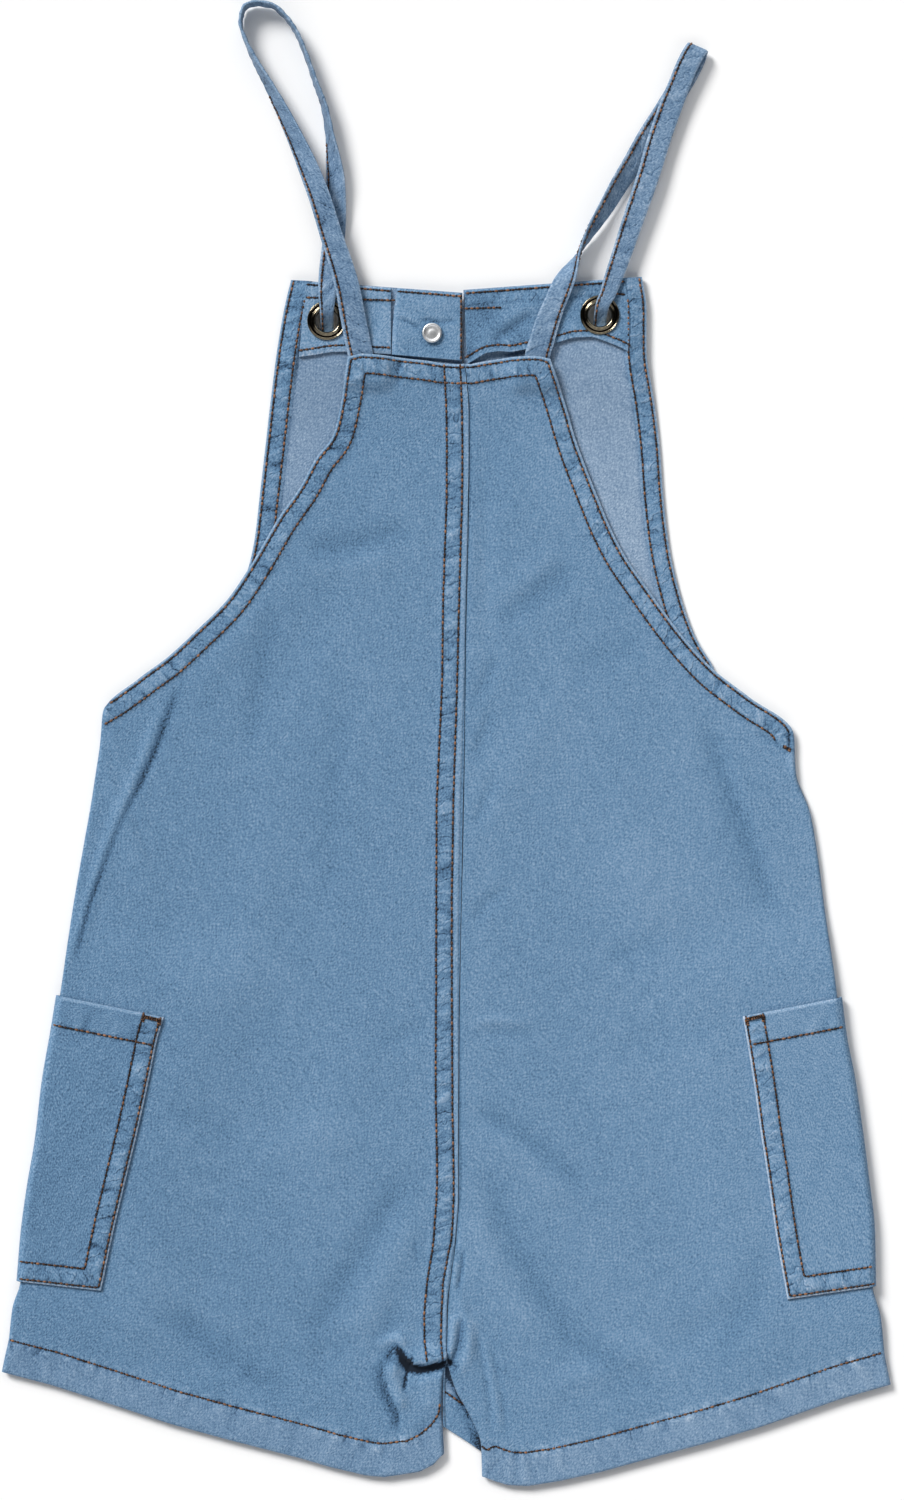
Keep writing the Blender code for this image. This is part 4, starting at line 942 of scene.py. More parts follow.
def patch_grid(sections, droop, step):
    """A small piece's grid of places, rows down its sections and closer near all its edges."""
    ends = np.asarray(sections, float)
    down = np.linalg.norm(ends[-1, :2] - ends[0, :2])
    wide = np.linalg.norm(ends[0, 2:] - ends[0, :2])
    near = np.array([0.0, 0.25, 0.6, 1.0, 1.5, 2.0, 2.6, 3.3])

    def spread(length):
        """Places from 0 to 1: even in the middle and close at both ends."""
        middle = np.linspace(near[-1], length - near[-1], max(4, int(length / step)))[1:-1]
        return np.r_[near, middle, length - near[::-1]] / length

    part, share = spread(down), spread(wide)
    seam_x, seam_y, edge_x, edge_y = along_table(sections, part * (len(sections) - 1)).T[:, :, None]
    x = seam_x + (edge_x - seam_x) * share
    y = seam_y + (edge_y - seam_y) * share
    if droop is not None:
        part = part[:, None]
        y = y - droop_at(droop, np.broadcast_to(share, x.shape), 0.0, part * (1.0 - part) * 2.0, part**2)
    return x, y


def lay_between(line, grid, raised=0.0):
    """A flat line laid on a grid of points, by the four nearest of them."""
    line = resample(line, LAY_STEP)
    points = grid.reshape(-1, 3)
    heights = []
    for chunk in np.array_split(line, max(1, len(line) // 100)):
        gap = (chunk[:, :1] - points[None, :, 0]) ** 2 + (chunk[:, 1:2] - points[None, :, 1]) ** 2
        close = np.argpartition(gap, 4, axis=1)[:, :4]
        weight = 1.0 / (np.take_along_axis(gap, close, axis=1) + 0.01)
        heights.append((points[close, 2] * weight).sum(axis=1) / weight.sum(axis=1))
    return np.column_stack([line, np.concatenate(heights) + raised])


for number, side in enumerate(("left", "right")):
    x, y = patch_grid(FACING_SECTIONS[side], FACING_DROOP[side], 1.1)
    top_line = FACING_SECTIONS[side][0]
    top_path = np.array([top_line[:2], top_line[2:]])
    low_path = hem_path(FACING_SECTIONS[side], FACING_DROOP[side])
    from_top = abs(near_path(x, y, top_path)[0])
    from_low, along_low = near_path(x, y, low_path)
    from_low = abs(from_low)
    top_band = make_band(top_path, 60 + number, rows=(1.3, 6.4), width=7.0, rise=0.0, pitch=5.5)
    relief, wear_and_shade, _, gathers = band_relief(top_band, x, y)
    gathers = join_gathers(gathers, (0.6 * (1.0 - ramp(from_low, 2.5, 7.0)), along_low, from_low))
    # The right facing gets painted shade towards the seam, and the left facing is paler
    relief, wear_and_shade = relief * 0.7, wear_and_shade * 0.75 + (0.2 if side == "left" else -0.08 - 0.18
        * (1.0 - ramp(x, 12.0, 40.0)))
    tucks = draw_tucks(path_length(low_path), 70 + number, 6.0, 2.2)
    low_tuck = tuck_height(tucks, along_low, from_low, 0.4, 7.0)
    groove = bell(from_low - 2.7, 0.5)
    relief = relief + 0.28 * low_tuck - 0.22 * groove + 0.2 * (1.0 - ramp(from_low, 3.0, 4.5))
    # The groove at the lower row of stitching gets painted shade; the lower edge is lighter with wear
    wear_and_shade = wear_and_shade + 0.25 * low_tuck - 0.22 * groove + 0.3 * (1.0 - ramp(from_low, 0.5, 1.6))
    crease_up, painted_crease_shade = crease_relief(BIB_CREASES, x, y)
    lifted = 0.0
    if side == "right":
        # Near the seam the lower edge has curled up from the bib
        lifted = 1.1 * bell(x - 22.6, 11.0) * (1.0 - ramp(from_low, 0.0, 9.0))
    z = front_middle(x, y, BIB_DROOP_WIDTH) + FACING_GAP - TURNED_EDGE * (1.0 - ramp(from_top, 0.0, 1.2))
    z = z - 0.3 * (1.0 - ramp(from_low, 0.0, 2.0)) * (side == "left") + lifted + crease_up
    grid = np.stack([x, y, z], axis=2)
    normals = surface_normals(grid)
    outer = grid + normals * (CLOTH / 2 + relief)[..., None]
    inner = grid - normals * CLOTH / 2
    marks = {"wear_and_shade": wear_and_shade + painted_crease_shade, **gather_marks((0.8 * gathers[0], *gathers[1:]))}
    piece = shell("facing_" + side + "_cloth", outer, inner, denim, marks, marks, grid[..., :2],
        near_eyelet(grid, CLOTH_HOLE))
    to_cloth = (lambda line: line) if side == "left" else (lambda line: line[::-1])
    runs = []
    for line in (inset(to_cloth(top_path), 1.3), inset(to_cloth(low_path)[::-1], 2.7),
        *map(np.array, FACING_INNER_ROWS[side])):
        runs.append((lay_between(line, outer), UP))
    sewn = stitching("facing_" + side + "_stitches", runs, 80 + number)
    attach(piece, "root")
    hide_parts("facing_" + side)

x, y = patch_grid(PLACKET_SECTIONS, None, 1.0)
top_path = np.array([PLACKET_SECTIONS[0][:2], PLACKET_SECTIONS[0][2:]])
left_path = np.array(PLACKET_SECTIONS)[:, 2:]
right_path = np.array(PLACKET_SECTIONS)[:, :2]
from_top = abs(near_path(x, y, top_path)[0])
from_left = abs(near_path(x, y, left_path)[0])
from_right, along_right = near_path(x, y, right_path)
from_right = abs(from_right)
tucks = draw_tucks(path_length(right_path), 90, 5.0)
tuck = tuck_height(tucks, along_right, from_right, 0.3, 3.5)
crease_up, painted_crease_shade = crease_relief(BIB_CREASES, x, y)
rivet_away = np.hypot(x - RIVET[0], y - RIVET[1])
z = front_middle(x, y, BIB_DROOP_WIDTH) + PLACKET_GAP - TURNED_EDGE * (1.0 - ramp(from_top, 0.0, 1.2))
z = z - 0.55 * (1.0 - ramp(from_left, 0.0, 1.8)) + crease_up - 0.15 * bell(rivet_away - 4.5, 1.2)
grid = np.stack([x, y, z], axis=2)
normals = surface_normals(grid)
relief = 0.22 * tuck - 0.2 * bell(from_right - 0.4, 0.5)
# Painted shade in a ring round the rivet and along the right edge; the turned left edge is lighter with wear
wear_and_shade = 0.3 * tuck + 0.06 + 0.15 * (1.0 - ramp(from_left, 0.6, 1.4)) + painted_crease_shade
wear_and_shade = wear_and_shade - 0.25 * bell(rivet_away - 4.6, 0.9) - 0.3 * bell(from_right, 0.5)
outer = grid + normals * (CLOTH / 2 + relief)[..., None]
inner = grid - normals * CLOTH / 2
marks = {"wear_and_shade": wear_and_shade}
piece = shell("bib_placket_cloth", outer, inner, denim, marks, marks, grid[..., :2])
runs = []
for line in (np.array([PLACKET_SECTIONS[0][2:], PLACKET_SECTIONS[0][:2]]) - (0.0, 1.3),
    right_path + (-0.5, 0.0)):
    runs.append((lay_between(line, outer), UP))
sewn = stitching("bib_placket_stitches", runs, 91)
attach(piece, "root")
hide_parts("bib_placket")

# --- Back halves ----------------------------------------------------------------------------
# The two back halves lie on top, joined by a centre seam felled to the left with two rows of
# stitching. The neck and armholes have a turned band with two rows, the legs a wide hem.
BACK_SECTIONS = {
    "left": (
        (7.7, 158.7, -41.3, 161.3),
        (9.4, 137.7, -44.2, 142.8),
        (9.4, 116.7, -47.6, 128.9),
        (9.1, 102.5, -54.7, 119.3),
        (9.0, 87.8, -61.4, 107.1),
        (8.5, 70.1, -70.2, 94.5),
        (8.1, 53.3, -82.8, 73.1),
        (7.9, 36.5, -92.1, 59.6),
        (7.7, 17.6, -105.1, 46.6),
        (7.5, -3.4, -116.9, 35.7),
        (7.0, -26.5, -129.9, 26.0),
        (6.6, -49.6, -143.3, 13.8),
        (6.2, -68.5, -146.1, -5.5),
        (5.8, -87.4, -149.2, -25.2),
        (5.4, -108.4, -152.6, -44.5),
        (5.2, -129.4, -156.8, -68.9),
        (5.0, -150.4, -161.8, -103.3),
        (4.9, -171.4, -165.2, -125.2),
        (4.9, -192.4, -168.5, -148.7),
        (3.7, -210.0, -171.9, -171.4),
        (1.8, -224.3, -175.5, -194.5),
        (0.3, -238.6, -178.0, -213.4),
        (0.1, -256.2, -178.8, -226.4),
        (-1.6, -268.8, -182.2, -237.7),
        (-2.0, -280.2, -183.7, -250.3),
        (-1.4, -289.4, -185.3, -257.5),
        (-0.9, -299.1, -186.8, -264.6),
    ),
    "right": (
        (8.0, 158.7, 43.6, 160.4),
        (9.7, 137.7, 50.3, 140.7),
        (9.7, 116.7, 54.1, 127.7),
        (9.5, 102.5, 58.7, 115.1),
        (9.3, 87.8, 63.7, 102.5),
        (8.9, 70.1, 69.2, 89.4),
        (8.5, 53.3, 75.1, 78.1),
        (8.2, 36.5, 83.5, 65.9),
        (8.0, 17.6, 91.5, 54.6),
        (7.8, -3.4, 100.3, 43.2),
        (7.4, -26.5, 112.0, 30.6),
        (7.0, -47.5, 127.6, 18.5),
        (6.5, -66.4, 145.2, 4.6),
        (6.1, -85.3, 147.3, -15.1),
        (5.8, -104.2, 152.8, -29.4),
        (5.5, -121.0, 156.1, -47.5),
        (5.4, -137.8, 159.1, -70.6),
        (5.3, -154.6, 162.9, -96.6),
        (5.2, -171.4, 165.8, -118.5),
        (5.1, -192.4, 170.0, -144.1),
        (4.0, -210.0, 172.9, -167.2),
        (2.1, -224.3, 175.9, -190.3),
        (0.7, -238.6, 178.4, -213.4),
        (0.5, -256.2, 178.9, -227.7),
        (4.1, -272.6, 182.4, -241.1),
        (8.3, -280.2, 183.4, -249.5),
        (14.6, -295.7, 184.1, -256.6),
        (15.0, -308.7, 186.8, -269.9),
    ),
}
BACK_DROOP = {
    "left": (
        (0, 0.0, 0.0, 0.0),
        (0.022, 0.2, 7.0, 5.3),
        (0.052, 0.4, 12.5, 9.2),
        (0.084, 0.4, 16.4, 11.3),
        (0.133, 0.4, 18.2, 14.3),
        (0.174, 0.4, 18.6, 15.1),
        (0.258, 0.0, 17.3, 14.3),
        (0.327, -0.4, 15.2, 12.9),
        (0.489, -0.8, 13.3, 10.8),
        (0.623, -1.3, 9.7, 8.6),
        (0.755, -1.7, 5.7, 5.0),
        (0.889, -1.7, 1.7, 1.6),
        (1, 0.0, 0.0, 0.0),
    ),
    "right": (
        (0, 0.0, 0.0, 0.0),
        (0.03, 0.2, 3.8, 3.1),
        (0.06, 0.4, 5.6, 5.8),
        (0.11, 0.0, 6.8, 8.2),
        (0.19, -0.4, 8.4, 9.1),
        (0.29, -0.8, 9.4, 9.2),
        (0.43, -1.3, 8.7, 8.0),
        (0.55, -1.7, 7.9, 7.1),
        (0.68, -1.7, 3.9, 5.5),
        (0.78, -1.7, 1.3, 3.4),
        (0.88, -1.3, 0.0, 1.3),
        (1, 0.0, 0.0, 0.0),
    ),
}
BACK_ROWS = {
    "left": {"underarm": 11, "crotch": 22, "hem": 24},
    "right": {"underarm": 12, "crotch": 23, "hem": 26},
}
STRAP_END_LIFT, STRAP_END_HALF, STRAP_END_RAMP = 2.3, 6.0, 9.0
STRAP_ENDS = ((-34.5, 153.7), (37.9, 153.3))
# The centre seam from top to crotch. Columns: y, left stitch row x, right stitch row x, join x.
CENTRE_SEAM = (
    (158.74, -0.94, 5.77, 7.88),
    (150.34, -0.53, 6.19, 9.97),
    (137.74, 0.1, 6.61, 9.97),
    (122.62, 0.23, 6.78, 10.06),
    (101.62, 0.15, 6.61, 9.81),
    (80.62, -0.65, 5.98, 9.09),
    (59.62, -1.32, 5.4, 8.42),
    (23.92, -1.78, 4.51, 7.88),
    (-24.38, -4.01, 2.96, 6.24),
    (-66.38, -4.22, 2.29, 5.52),
    (-108.38, -4.3, 2.33, 5.35),
    (-129.38, -4.43, 2.46, 5.56),
    (-150.38, -4.43, 2.54, 5.73),
    (-171.38, -3.97, 2.92, 5.94),
    (-183.98, -3.84, 3.09, 6.07),
    (-192.38, -4.09, 3.04, 5.77),
    (-200.78, -4.81, 2.71, 4.89),
    (-209.18, -5.31, 2.12, 4.26),
    (-214.22, -5.98, 0.94, 3.04),
    (-226.82, -8.08, -1.36, 1.36),
    (-240.68, -9.34, -2.04, 0.4),
    (-251.6, -9.09, -2.29, 0.32),
    (-260.0, -8.08, -1.36, 0.32),
)
# Soft folds of the lying cloth. Columns: x, y, bearing in degrees, half length, half width, rise.
BACK_FOLDS = (
    (-136.2, -24.4, 109, 63.0, 10.9, 1.0),
    (-132.0, -29.4, 112, 58.8, 3.8, -0.5),
    (16.7, 76.4, 91, 63.0, 6.7, -0.45),
    (31.0, -7.6, 60, 63.0, 14.3, 0.5),
    (-61.4, 42.8, 62, 63.0, 15.1, -0.45),
    (-88.7, 42.8, 50, 37.8, 10.1, 0.5),
    (-80.3, -66.4, 80, 71.4, 16.8, 0.5),
    (81.4, -66.4, 105, 71.4, 19.3, 0.5),
    (47.8, -129.4, 115, 71.4, 16.8, -0.4),
    (-48.8, -158.8, 75, 71.4, 18.5, 0.45),
    (106.6, -247.0, 30, 50.4, 10.9, -0.45),
    (64.6, -263.8, 20, 46.2, 9.2, 0.5),
    (-86.6, -251.2, -22, 50.4, 10.9, -0.45),
    (-124.4, -247.0, -30, 37.8, 9.2, 0.4),
    (-20.3, -257.9, 70, 13.4, 5.0, 1.2),
    (-8.5, -263.8, 0, 10.9, 3.8, -0.6),
    (8.3, -247.0, 100, 25.2, 4.2, 0.9),
    (4.5, -213.4, 98, 25.2, 3.4, -0.4),
)
# Creases. Each is its points, then width, rise, shade and how far the shade sits to its left.
BACK_CREASES = (
    (((-110.1, 29.4), (-112.7, 22.7), (-117.7, 9.2), (-122.7, -4.2), (-128.6, -17.7), (-137.0, -34.5),
     (-144.2, -52.9), (-149.6, -68.1), (-153.8, -83.2), (-158.0, -102.1)), 1.5, -0.5, -0.38, 0),
    (((-111.4, 26.0), (-113.5, 20.1), (-117.7, 9.2), (-122.7, -4.2), (-128.6, -17.7), (-133.7, -27.7)), 1.25,
     -0.25, -0.42, 0),
    (((-142.9, -49.6), (-146.3, -58.8), (-149.6, -68.1), (-153.8, -83.2), (-156.3, -93.7)), 1.1, -0.1, -0.3, 0),
    (((-115.6, 21.8), (-121.1, 8.4), (-127.4, -8.4), (-136.6, -29.4), (-143.3, -46.2), (-149.2, -64.7),
     (-154.2, -82.3), (-159.7, -102.1)), 3.0, 0.8, 0.12, 0),
    (((106.6, 17.6), (120.9, -25.2), (127.6, -45.0), (133.0, -62.2), (138.1, -79.0)), 7.0, -0.5, -0.12, 0),
    (((144.0, -4.2), (145.2, -10.1), (146.9, -16.0)), 1.6, 0.4, 0.2, 0),
    (((129.7, 3.8), (135.1, 1.2), (142.3, -2.5)), 1.0, -0.3, -0.2, 0),
    (((143.7, 4.6), (143.9, 0.4), (144.0, -4.2)), 0.9, -0.5, -1.1, 0),
    (((7.5, -211.7), (6.6, -220.9), (4.5, -231.4)), 0.8, -0.5, -0.5, 0),
    (((4.5, -215.5), (4.1, -223.9), (2.8, -231.0)), 1.1, 0.25, 0.16, 0),
    (((-13.5, -208.3), (-12.3, -219.7)), 0.8, -0.25, -0.3, 0),
    (((7.0, -239.4), (6.0, -247.0), (4.9, -253.7), (2.8, -259.6), (-0.1, -265.5)), 0.9, -0.8, -0.5, 2.2),
    (((3.7, -239.4), (3.0, -247.8), (2.0, -254.5), (-0.1, -260.4)), 1.7, 1.0, 0.24, 0),
    (((-0.9, -263.8), (1.2, -265.5), (3.7, -263.8), (5.4, -260.4)), 1.0, -0.3, -0.55, 0),
    (((10.8, -238.6), (10.8, -249.1), (8.7, -257.9), (4.5, -268.0)), 2.4, 0.6, 0.14, 0),
    (((-27.8, -262.1), (-25.3, -258.3), (-22.8, -254.8), (-20.5, -253.4), (-18.8, -255.8), (-16.9, -258.5),
     (-14.4, -261.7)), 0.7, -0.6, -0.8, -3.0),
    (((-21.1, -253.7), (-19.8, -254.5), (-18.6, -256.2), (-16.9, -258.7), (-14.4, -261.7), (-11.9, -262.9)),
     0.7, -0.5, -1.3, -1.9),
    (((-29.5, -256.2), (-25.7, -252.0), (-20.7, -249.9), (-16.1, -254.1)), 1.6, 1.0, 0.25, 0),
    (((-27.0, -257.9), (-26.4, -266.3), (-24.9, -273.0), (-22.6, -277.6), (-20.7, -281.0), (-20.0, -284.4),
     (-20.3, -291.5)), 0.7, -0.7, -0.75, -3.4),
    (((-23.2, -259.6), (-21.9, -267.1), (-19.4, -275.5), (-17.7, -281.4)), 2.4, 1.0, 0.2, 0),
    (((-14.0, -256.2), (-15.4, -262.1), (-17.1, -266.7), (-18.0, -273.9)), 0.75, -0.8, -1.5, 0),
    (((-10.2, -265.5), (-6.8, -274.3), (-6.8, -281.4)), 4.0, 0.5, 0.12, 0),
    (((12.5, -247.0), (17.1, -270.1), (19.2, -293.2)), 1.3, -0.35, -0.14, 0),
    (((15.0, -247.0), (20.5, -270.1), (22.6, -293.2)), 1.5, 0.3, 0.08, 0),
    (((18.4, -251.2), (23.8, -276.4), (25.9, -294.0)), 1.3, -0.3, -0.12, 0),
    (((-36.2, -247.0), (-48.8, -255.4), (-61.4, -264.6)), 5.0, -0.4, -0.08, 0),
    (((-19.4, -234.4), (-25.7, -247.0), (-28.7, -259.6)), 4.0, -0.4, -0.12, 0),
    (((-39.6, 152.9), (-43.4, 131.0), (-52.2, 114.2), (-61.4, 97.4)), 4, 0, -0.2, 0),
)
# Broad, soft ones, as the cloth lay
SOFT_CREASES = (
    (((-61.4, 81.0), (-40.4, 82.7), (-11.0, 90.3)), 5, -0.5, -0.17, 0),
    (((-65.6, 73.1), (-40.4, 73.1), (-15.2, 78.9)), 5, 0.3, 0.07, 0),
    (((-70.7, 63.8), (-77.4, 34.4), (-83.7, -8.4)), 4.5, -0.4, -0.12, 0),
    (((-42.5, 32.3), (-47.6, -16.0), (-51.3, -76.9)), 5, -0.3, -0.08, 0),
    (((20.5, 47.9), (35.2, 59.6), (55.3, 75.6)), 5, -0.5, -0.17, 0),
    (((22.6, 59.6), (35.2, 70.1), (47.8, 82.7)), 5, 0.3, 0.07, 0),
    (((47.8, 26.0), (64.6, 34.4), (83.5, 44.5)), 6, -0.3, -0.09, 0),
    (((11.7, 17.6), (16.7, 26.0), (21.3, 36.5)), 3, -0.4, -0.13, 0),
    (((11.7, -7.6), (15.9, 2.9), (20.1, 15.5)), 3, -0.4, -0.11, 0),
    (((11.7, -37.0), (16.7, -24.4), (20.9, -11.8)), 3, -0.4, -0.13, 0),
    (((10.8, -76.9), (15.9, -68.5), (26.8, -60.1)), 3, -0.4, -0.14, 0),
    (((10.0, 42.8), (13.3, 21.8), (13.3, -24.4), (10.8, -66.4)), 4, 0, -0.07, 0),
    (((107.4, 10.5), (123.4, -32.8), (141.4, -79.4)), 3.4, -0.5, -0.14, 0),
    (((112.5, 10.5), (129.3, -32.8), (146.1, -76.9)), 4, 0.3, 0.05, 0),
    (((10.0, -117.6), (22.6, -116.8), (36.0, -118.0)), 2.2, 0.4, 0.14, 0),
    (((10.0, -123.1), (22.6, -122.2), (39.4, -123.9)), 3, -0.3, -0.09, 0),
    (((-33.7, -125.2), (-19.4, -123.5), (-6.8, -119.3)), 4, -0.3, -0.09, 0),
    (((-120.2, -150.4), (-103.4, -157.9), (-86.6, -170.5)), 5, -0.3, -0.09, 0),
    (((-61.4, -256.2), (-40.4, -221.8), (-25.7, -196.6), (-11.0, -174.7)), 6, -0.6, -0.18, 0),
    (((-42.5, -255.4), (-25.7, -223.9), (-11.0, -194.5)), 6, 0.5, 0.09, 0),
    (((-82.4, -175.6), (-53.0, -163.0), (-19.4, -167.2)), 7, 0.3, 0.05, 0),
    (((-121.1, -234.4), (-99.2, -253.3), (-61.4, -277.2)), 6, -0.5, -0.17, 0),
    (((-132.8, -218.4), (-111.8, -232.3), (-78.2, -256.2)), 7, 0.3, 0.07, 0),
    (((8.3, -151.2), (30.6, -163.8), (47.8, -177.7), (61.2, -191.5)), 4, -0.5, -0.18, 0),
    (((13.3, -162.1), (35.2, -177.7), (52.0, -194.5)), 5, 0.4, 0.08, 0),
    (((12.5, -175.6), (26.4, -207.5), (52.0, -250.3), (94.8, -273.0)), 5.5, -0.6, -0.18, 0),
    (((10.0, -192.4), (20.5, -221.8), (39.4, -255.4)), 6, 0.5, 0.1, 0),
    (((60.4, -247.0), (81.4, -258.7), (102.4, -264.6)), 6, 0.3, 0.05, 0),
    (((109.9, -264.6), (125.5, -238.6), (133.9, -207.5)), 6, -0.3, -0.11, 0),
    (((64.6, -92.4), (81.4, -87.4), (96.1, -78.1)), 6, -0.3, -0.08, 0),
    (((64.6, -131.9), (94.0, -123.1), (121.3, -117.6)), 6, -0.2, -0.06, 0),
    (((15.0, 147.8), (18.4, 122.6), (15.9, 93.2)), 7, -0.3, -0.09, 0),
    (((35.2, 143.6), (45.7, 110.0), (54.1, 84.8)), 8, 0.2, 0.05, 0),
    (((73.0, -37.0), (85.6, -53.8), (98.2, -79.0)), 14, 0.2, 0.08, 0),
    (((-120.2, -91.6), (-90.8, -97.9), (-57.2, -91.6)), 14, 0.2, 0.07, 0),
)


SIDE_COLUMNS = EDGE_COLUMNS + (11.0, 11.8, 12.6, 13.4, 14.2, 15.1, 16.1, 17.2)
CROTCH_COLUMNS = EDGE_COLUMNS + (11.0, 11.9, 12.8, 13.7, 14.6, 15.5, 16.4, 17.4, 18.4, 19.5, 20.7, 22.0, 23.5,
    25.0)
PLEAT_COLUMNS = {"left": (18.5, 19.9, 21.3, 22.7, 24.1, 25.6, 27.2, 28.9), "right": ()}
FLAP_EDGE = ((-20.7, -256.2), (-17.7, -258.3), (-15.2, -260.6), (-11.9, -261.7), (-7.7, -261.3),
    (-3.9, -260.2), (-0.9, -259.2), (1.2, -257.5))
# Ends of the hem stitching that run up the inside of each leg
HEM_STITCH_ENDS = {"left": ((-17.3, -294.0), (-11.4, -291.1), (-6.0, -286.5), (-3.3, -282.3), (-2.6, -277.6)),
    "right": ((14.8, -295.7), (17.1, -297.4))}
UNDERARM_TACK = ((141.4, -1.5), (145.2, -3.4))


def soft_folds(x, y, table):
    """Sum of soft ridges and troughs, each a rounded bump along its own bearing."""
    height = np.zeros(x.shape)
    for fold_x, fold_y, bearing, half_length, half_width, rise in table:
        turn = math.radians(bearing)
        along = (x - fold_x) * math.cos(turn) + (y - fold_y) * math.sin(turn)
        across = -(x - fold_x) * math.sin(turn) + (y - fold_y) * math.cos(turn)
        along = np.clip(along / half_length, -1.0, 1.0)
        across = np.clip(across / half_width, -1.0, 1.0)
        height += rise * np.cos(along * math.pi / 2) ** 2 * np.cos(across * math.pi / 2) ** 2
    return height


def back_middle(x, y, away):
    """Height of the middle of the back: on the front, over the strap ends, with its folds."""
    lift = np.zeros(x.shape)
    for end_x, end_y in STRAP_ENDS:
        across = 1.0 - ramp(abs(x - end_x), STRAP_END_HALF, STRAP_END_HALF + STRAP_END_RAMP)
        down = ramp(y, end_y - STRAP_END_RAMP, end_y - 1.5)
        lift = np.maximum(lift, STRAP_END_LIFT * across * down)
    lying = front_middle(x, y, BIB_DROOP_WIDTH) + WALL + SEAM_GAP + EASE
    return lying + lift + ramp(away, 0.0, 15.2) * soft_folds(x, y, BACK_FOLDS)


BACK_RIM, BACK_HEM = {}, {}
for number, side in enumerate(("left", "right")):
    rim = edge_path(BACK_SECTIONS[side], BACK_ROWS[side], BACK_DROOP[side])
    if side == "left":
        # Its band runs straight on to the side below the underarm
        rim = np.vstack([rim[:-2], rim[-3] + 14.0 * np.array([-0.87, -0.5])])
    rim = inside_left(side, rim)
    hem_line = inside_left("right" if side == "left" else "left",
        hem_path(BACK_SECTIONS[side], BACK_DROOP[side]))
    BACK_RIM[side] = make_band(rim, 100 + number, rows=(1.5, 8.1), width=9.2)
    BACK_HEM[side] = make_hem(hem_line, 110 + number)
seam_table = np.array(CENTRE_SEAM)[::-1]
seam_tucks = draw_tucks(440.0, 120, 3.0, 1.2)
seam_pulls = draw_tucks(440.0, 121, 9.0, 1.2)


def back_layers(side, x, y):
    """Middle height, relief of the side that lies up, its fade and its gathers."""
    relief, wear_and_shade, away, gathers = band_relief(BACK_RIM[side], x, y)
    hem_up, hem_wear_and_shade, hem_away, hem_gathers = hem_relief(BACK_HEM[side], x, y)
    relief, wear_and_shade, gathers = relief + hem_up, wear_and_shade + hem_wear_and_shade, join_gathers(gathers, hem_gathers)
    left_row, right_row, join = (np.interp(y, seam_table[:, 0], seam_table[:, k]) for k in (1, 2, 3))
    above_crotch = ramp(y, seam_table[0, 0] - 2.0, seam_table[0, 0] + 2.0)
    clear = ramp(away, 7.0, 10.0) * above_crotch
    if side == "left":
        inside = x - left_row
        tuck = tuck_height(seam_tucks, 220.0 - y + 0.35 * inside, inside, 0.2, 6.4)
        pull = tuck_height(seam_pulls, 220.0 - y, -inside, 0.3, 4.0)
        grooves = bell(inside, 0.7) + bell(x - right_row, 0.7)
        strip = ramp(x, right_row + 0.3, right_row + 1.0)
        seam_gathered = clear * ramp(inside, -0.6, 0.4) * (1.0 - ramp(x, right_row - 0.3, right_row + 1.2))
        gathers = join_gathers(gathers, (seam_gathered, 500.0 - y + 0.3 * inside, inside))
        relief = relief + clear * (0.45 * ramp(inside, -1.6, -0.5) + 0.45 * tuck + 0.12 * pull - 0.24 * grooves)
        # Painted shade in the stitch grooves and the tucks' troughs; the tucks' ridges and the felled strip are
        # lighter
        wear_and_shade = wear_and_shade + clear * (0.48 * tuck + 0.2 * pull - 0.4 * grooves + 0.3 * strip - 0.06
            * ramp(inside, -1.0, 0.0))
        relief = relief - 0.4 * (1.0 - ramp(join - x, 0.0, 0.9))
        # Painted shade in the ditch at the join
        wear_and_shade = wear_and_shade - 0.4 * above_crotch * (1.0 - ramp(join - x, 0.1, 0.6))
    else:
        relief = relief - 0.15 * bell(x - join, 1.2) * above_crotch
        # Painted shade in the ditch at the join, and a lighter band beside it
        wear_and_shade = wear_and_shade + (0.07 * bell(x - join - 7.0, 6.0) - 0.3 * bell(x - join, 0.6)) * above_crotch
    crease_up, painted_crease_shade = crease_relief(BACK_CREASES + SOFT_CREASES, x, y)
    # The seam's foot lies as a flap over the leg, with a hollow under its edge; the hollow's dark is painted shade
    # and the light line along the edge is a painted highlight
    up_from, along = near_path(x, y, FLAP_EDGE)
    reach = ramp(along, 0.0, 7.0) * (1.0 - ramp(along, path_length(FLAP_EDGE) - 1.6, path_length(FLAP_EDGE)))
    reach = reach * (1.0 - ramp(abs(up_from), 9.0, 14.0))
    below = ramp(-up_from, -0.4, 0.5)
    crease_up = np.maximum(crease_up,
        -1.0) + reach * (2.2 * (1.0 - below) * bell(up_from, 7.0) - 0.9 * below
        * (1.0 - ramp(-up_from, 2.0, 8.0)))
    painted_crease_shade = painted_crease_shade - 1.65 * reach * below * (1.0
        - ramp(-up_from, 2.4, 5.0)) + 0.25 * reach * bell(up_from - 1.0, 0.8)
    # Painted light and shade: the soft folds' ridges are a little lighter and their troughs darker, and the cloth
    # grows lighter towards the right
    wear_and_shade = wear_and_shade + 0.08 * soft_folds(x, y, BACK_FOLDS) * ramp(away, 6.0, 16.0) + 0.0005 * x
    return back_middle(x, y, away) + crease_up, relief, wear_and_shade + painted_crease_shade, gathers


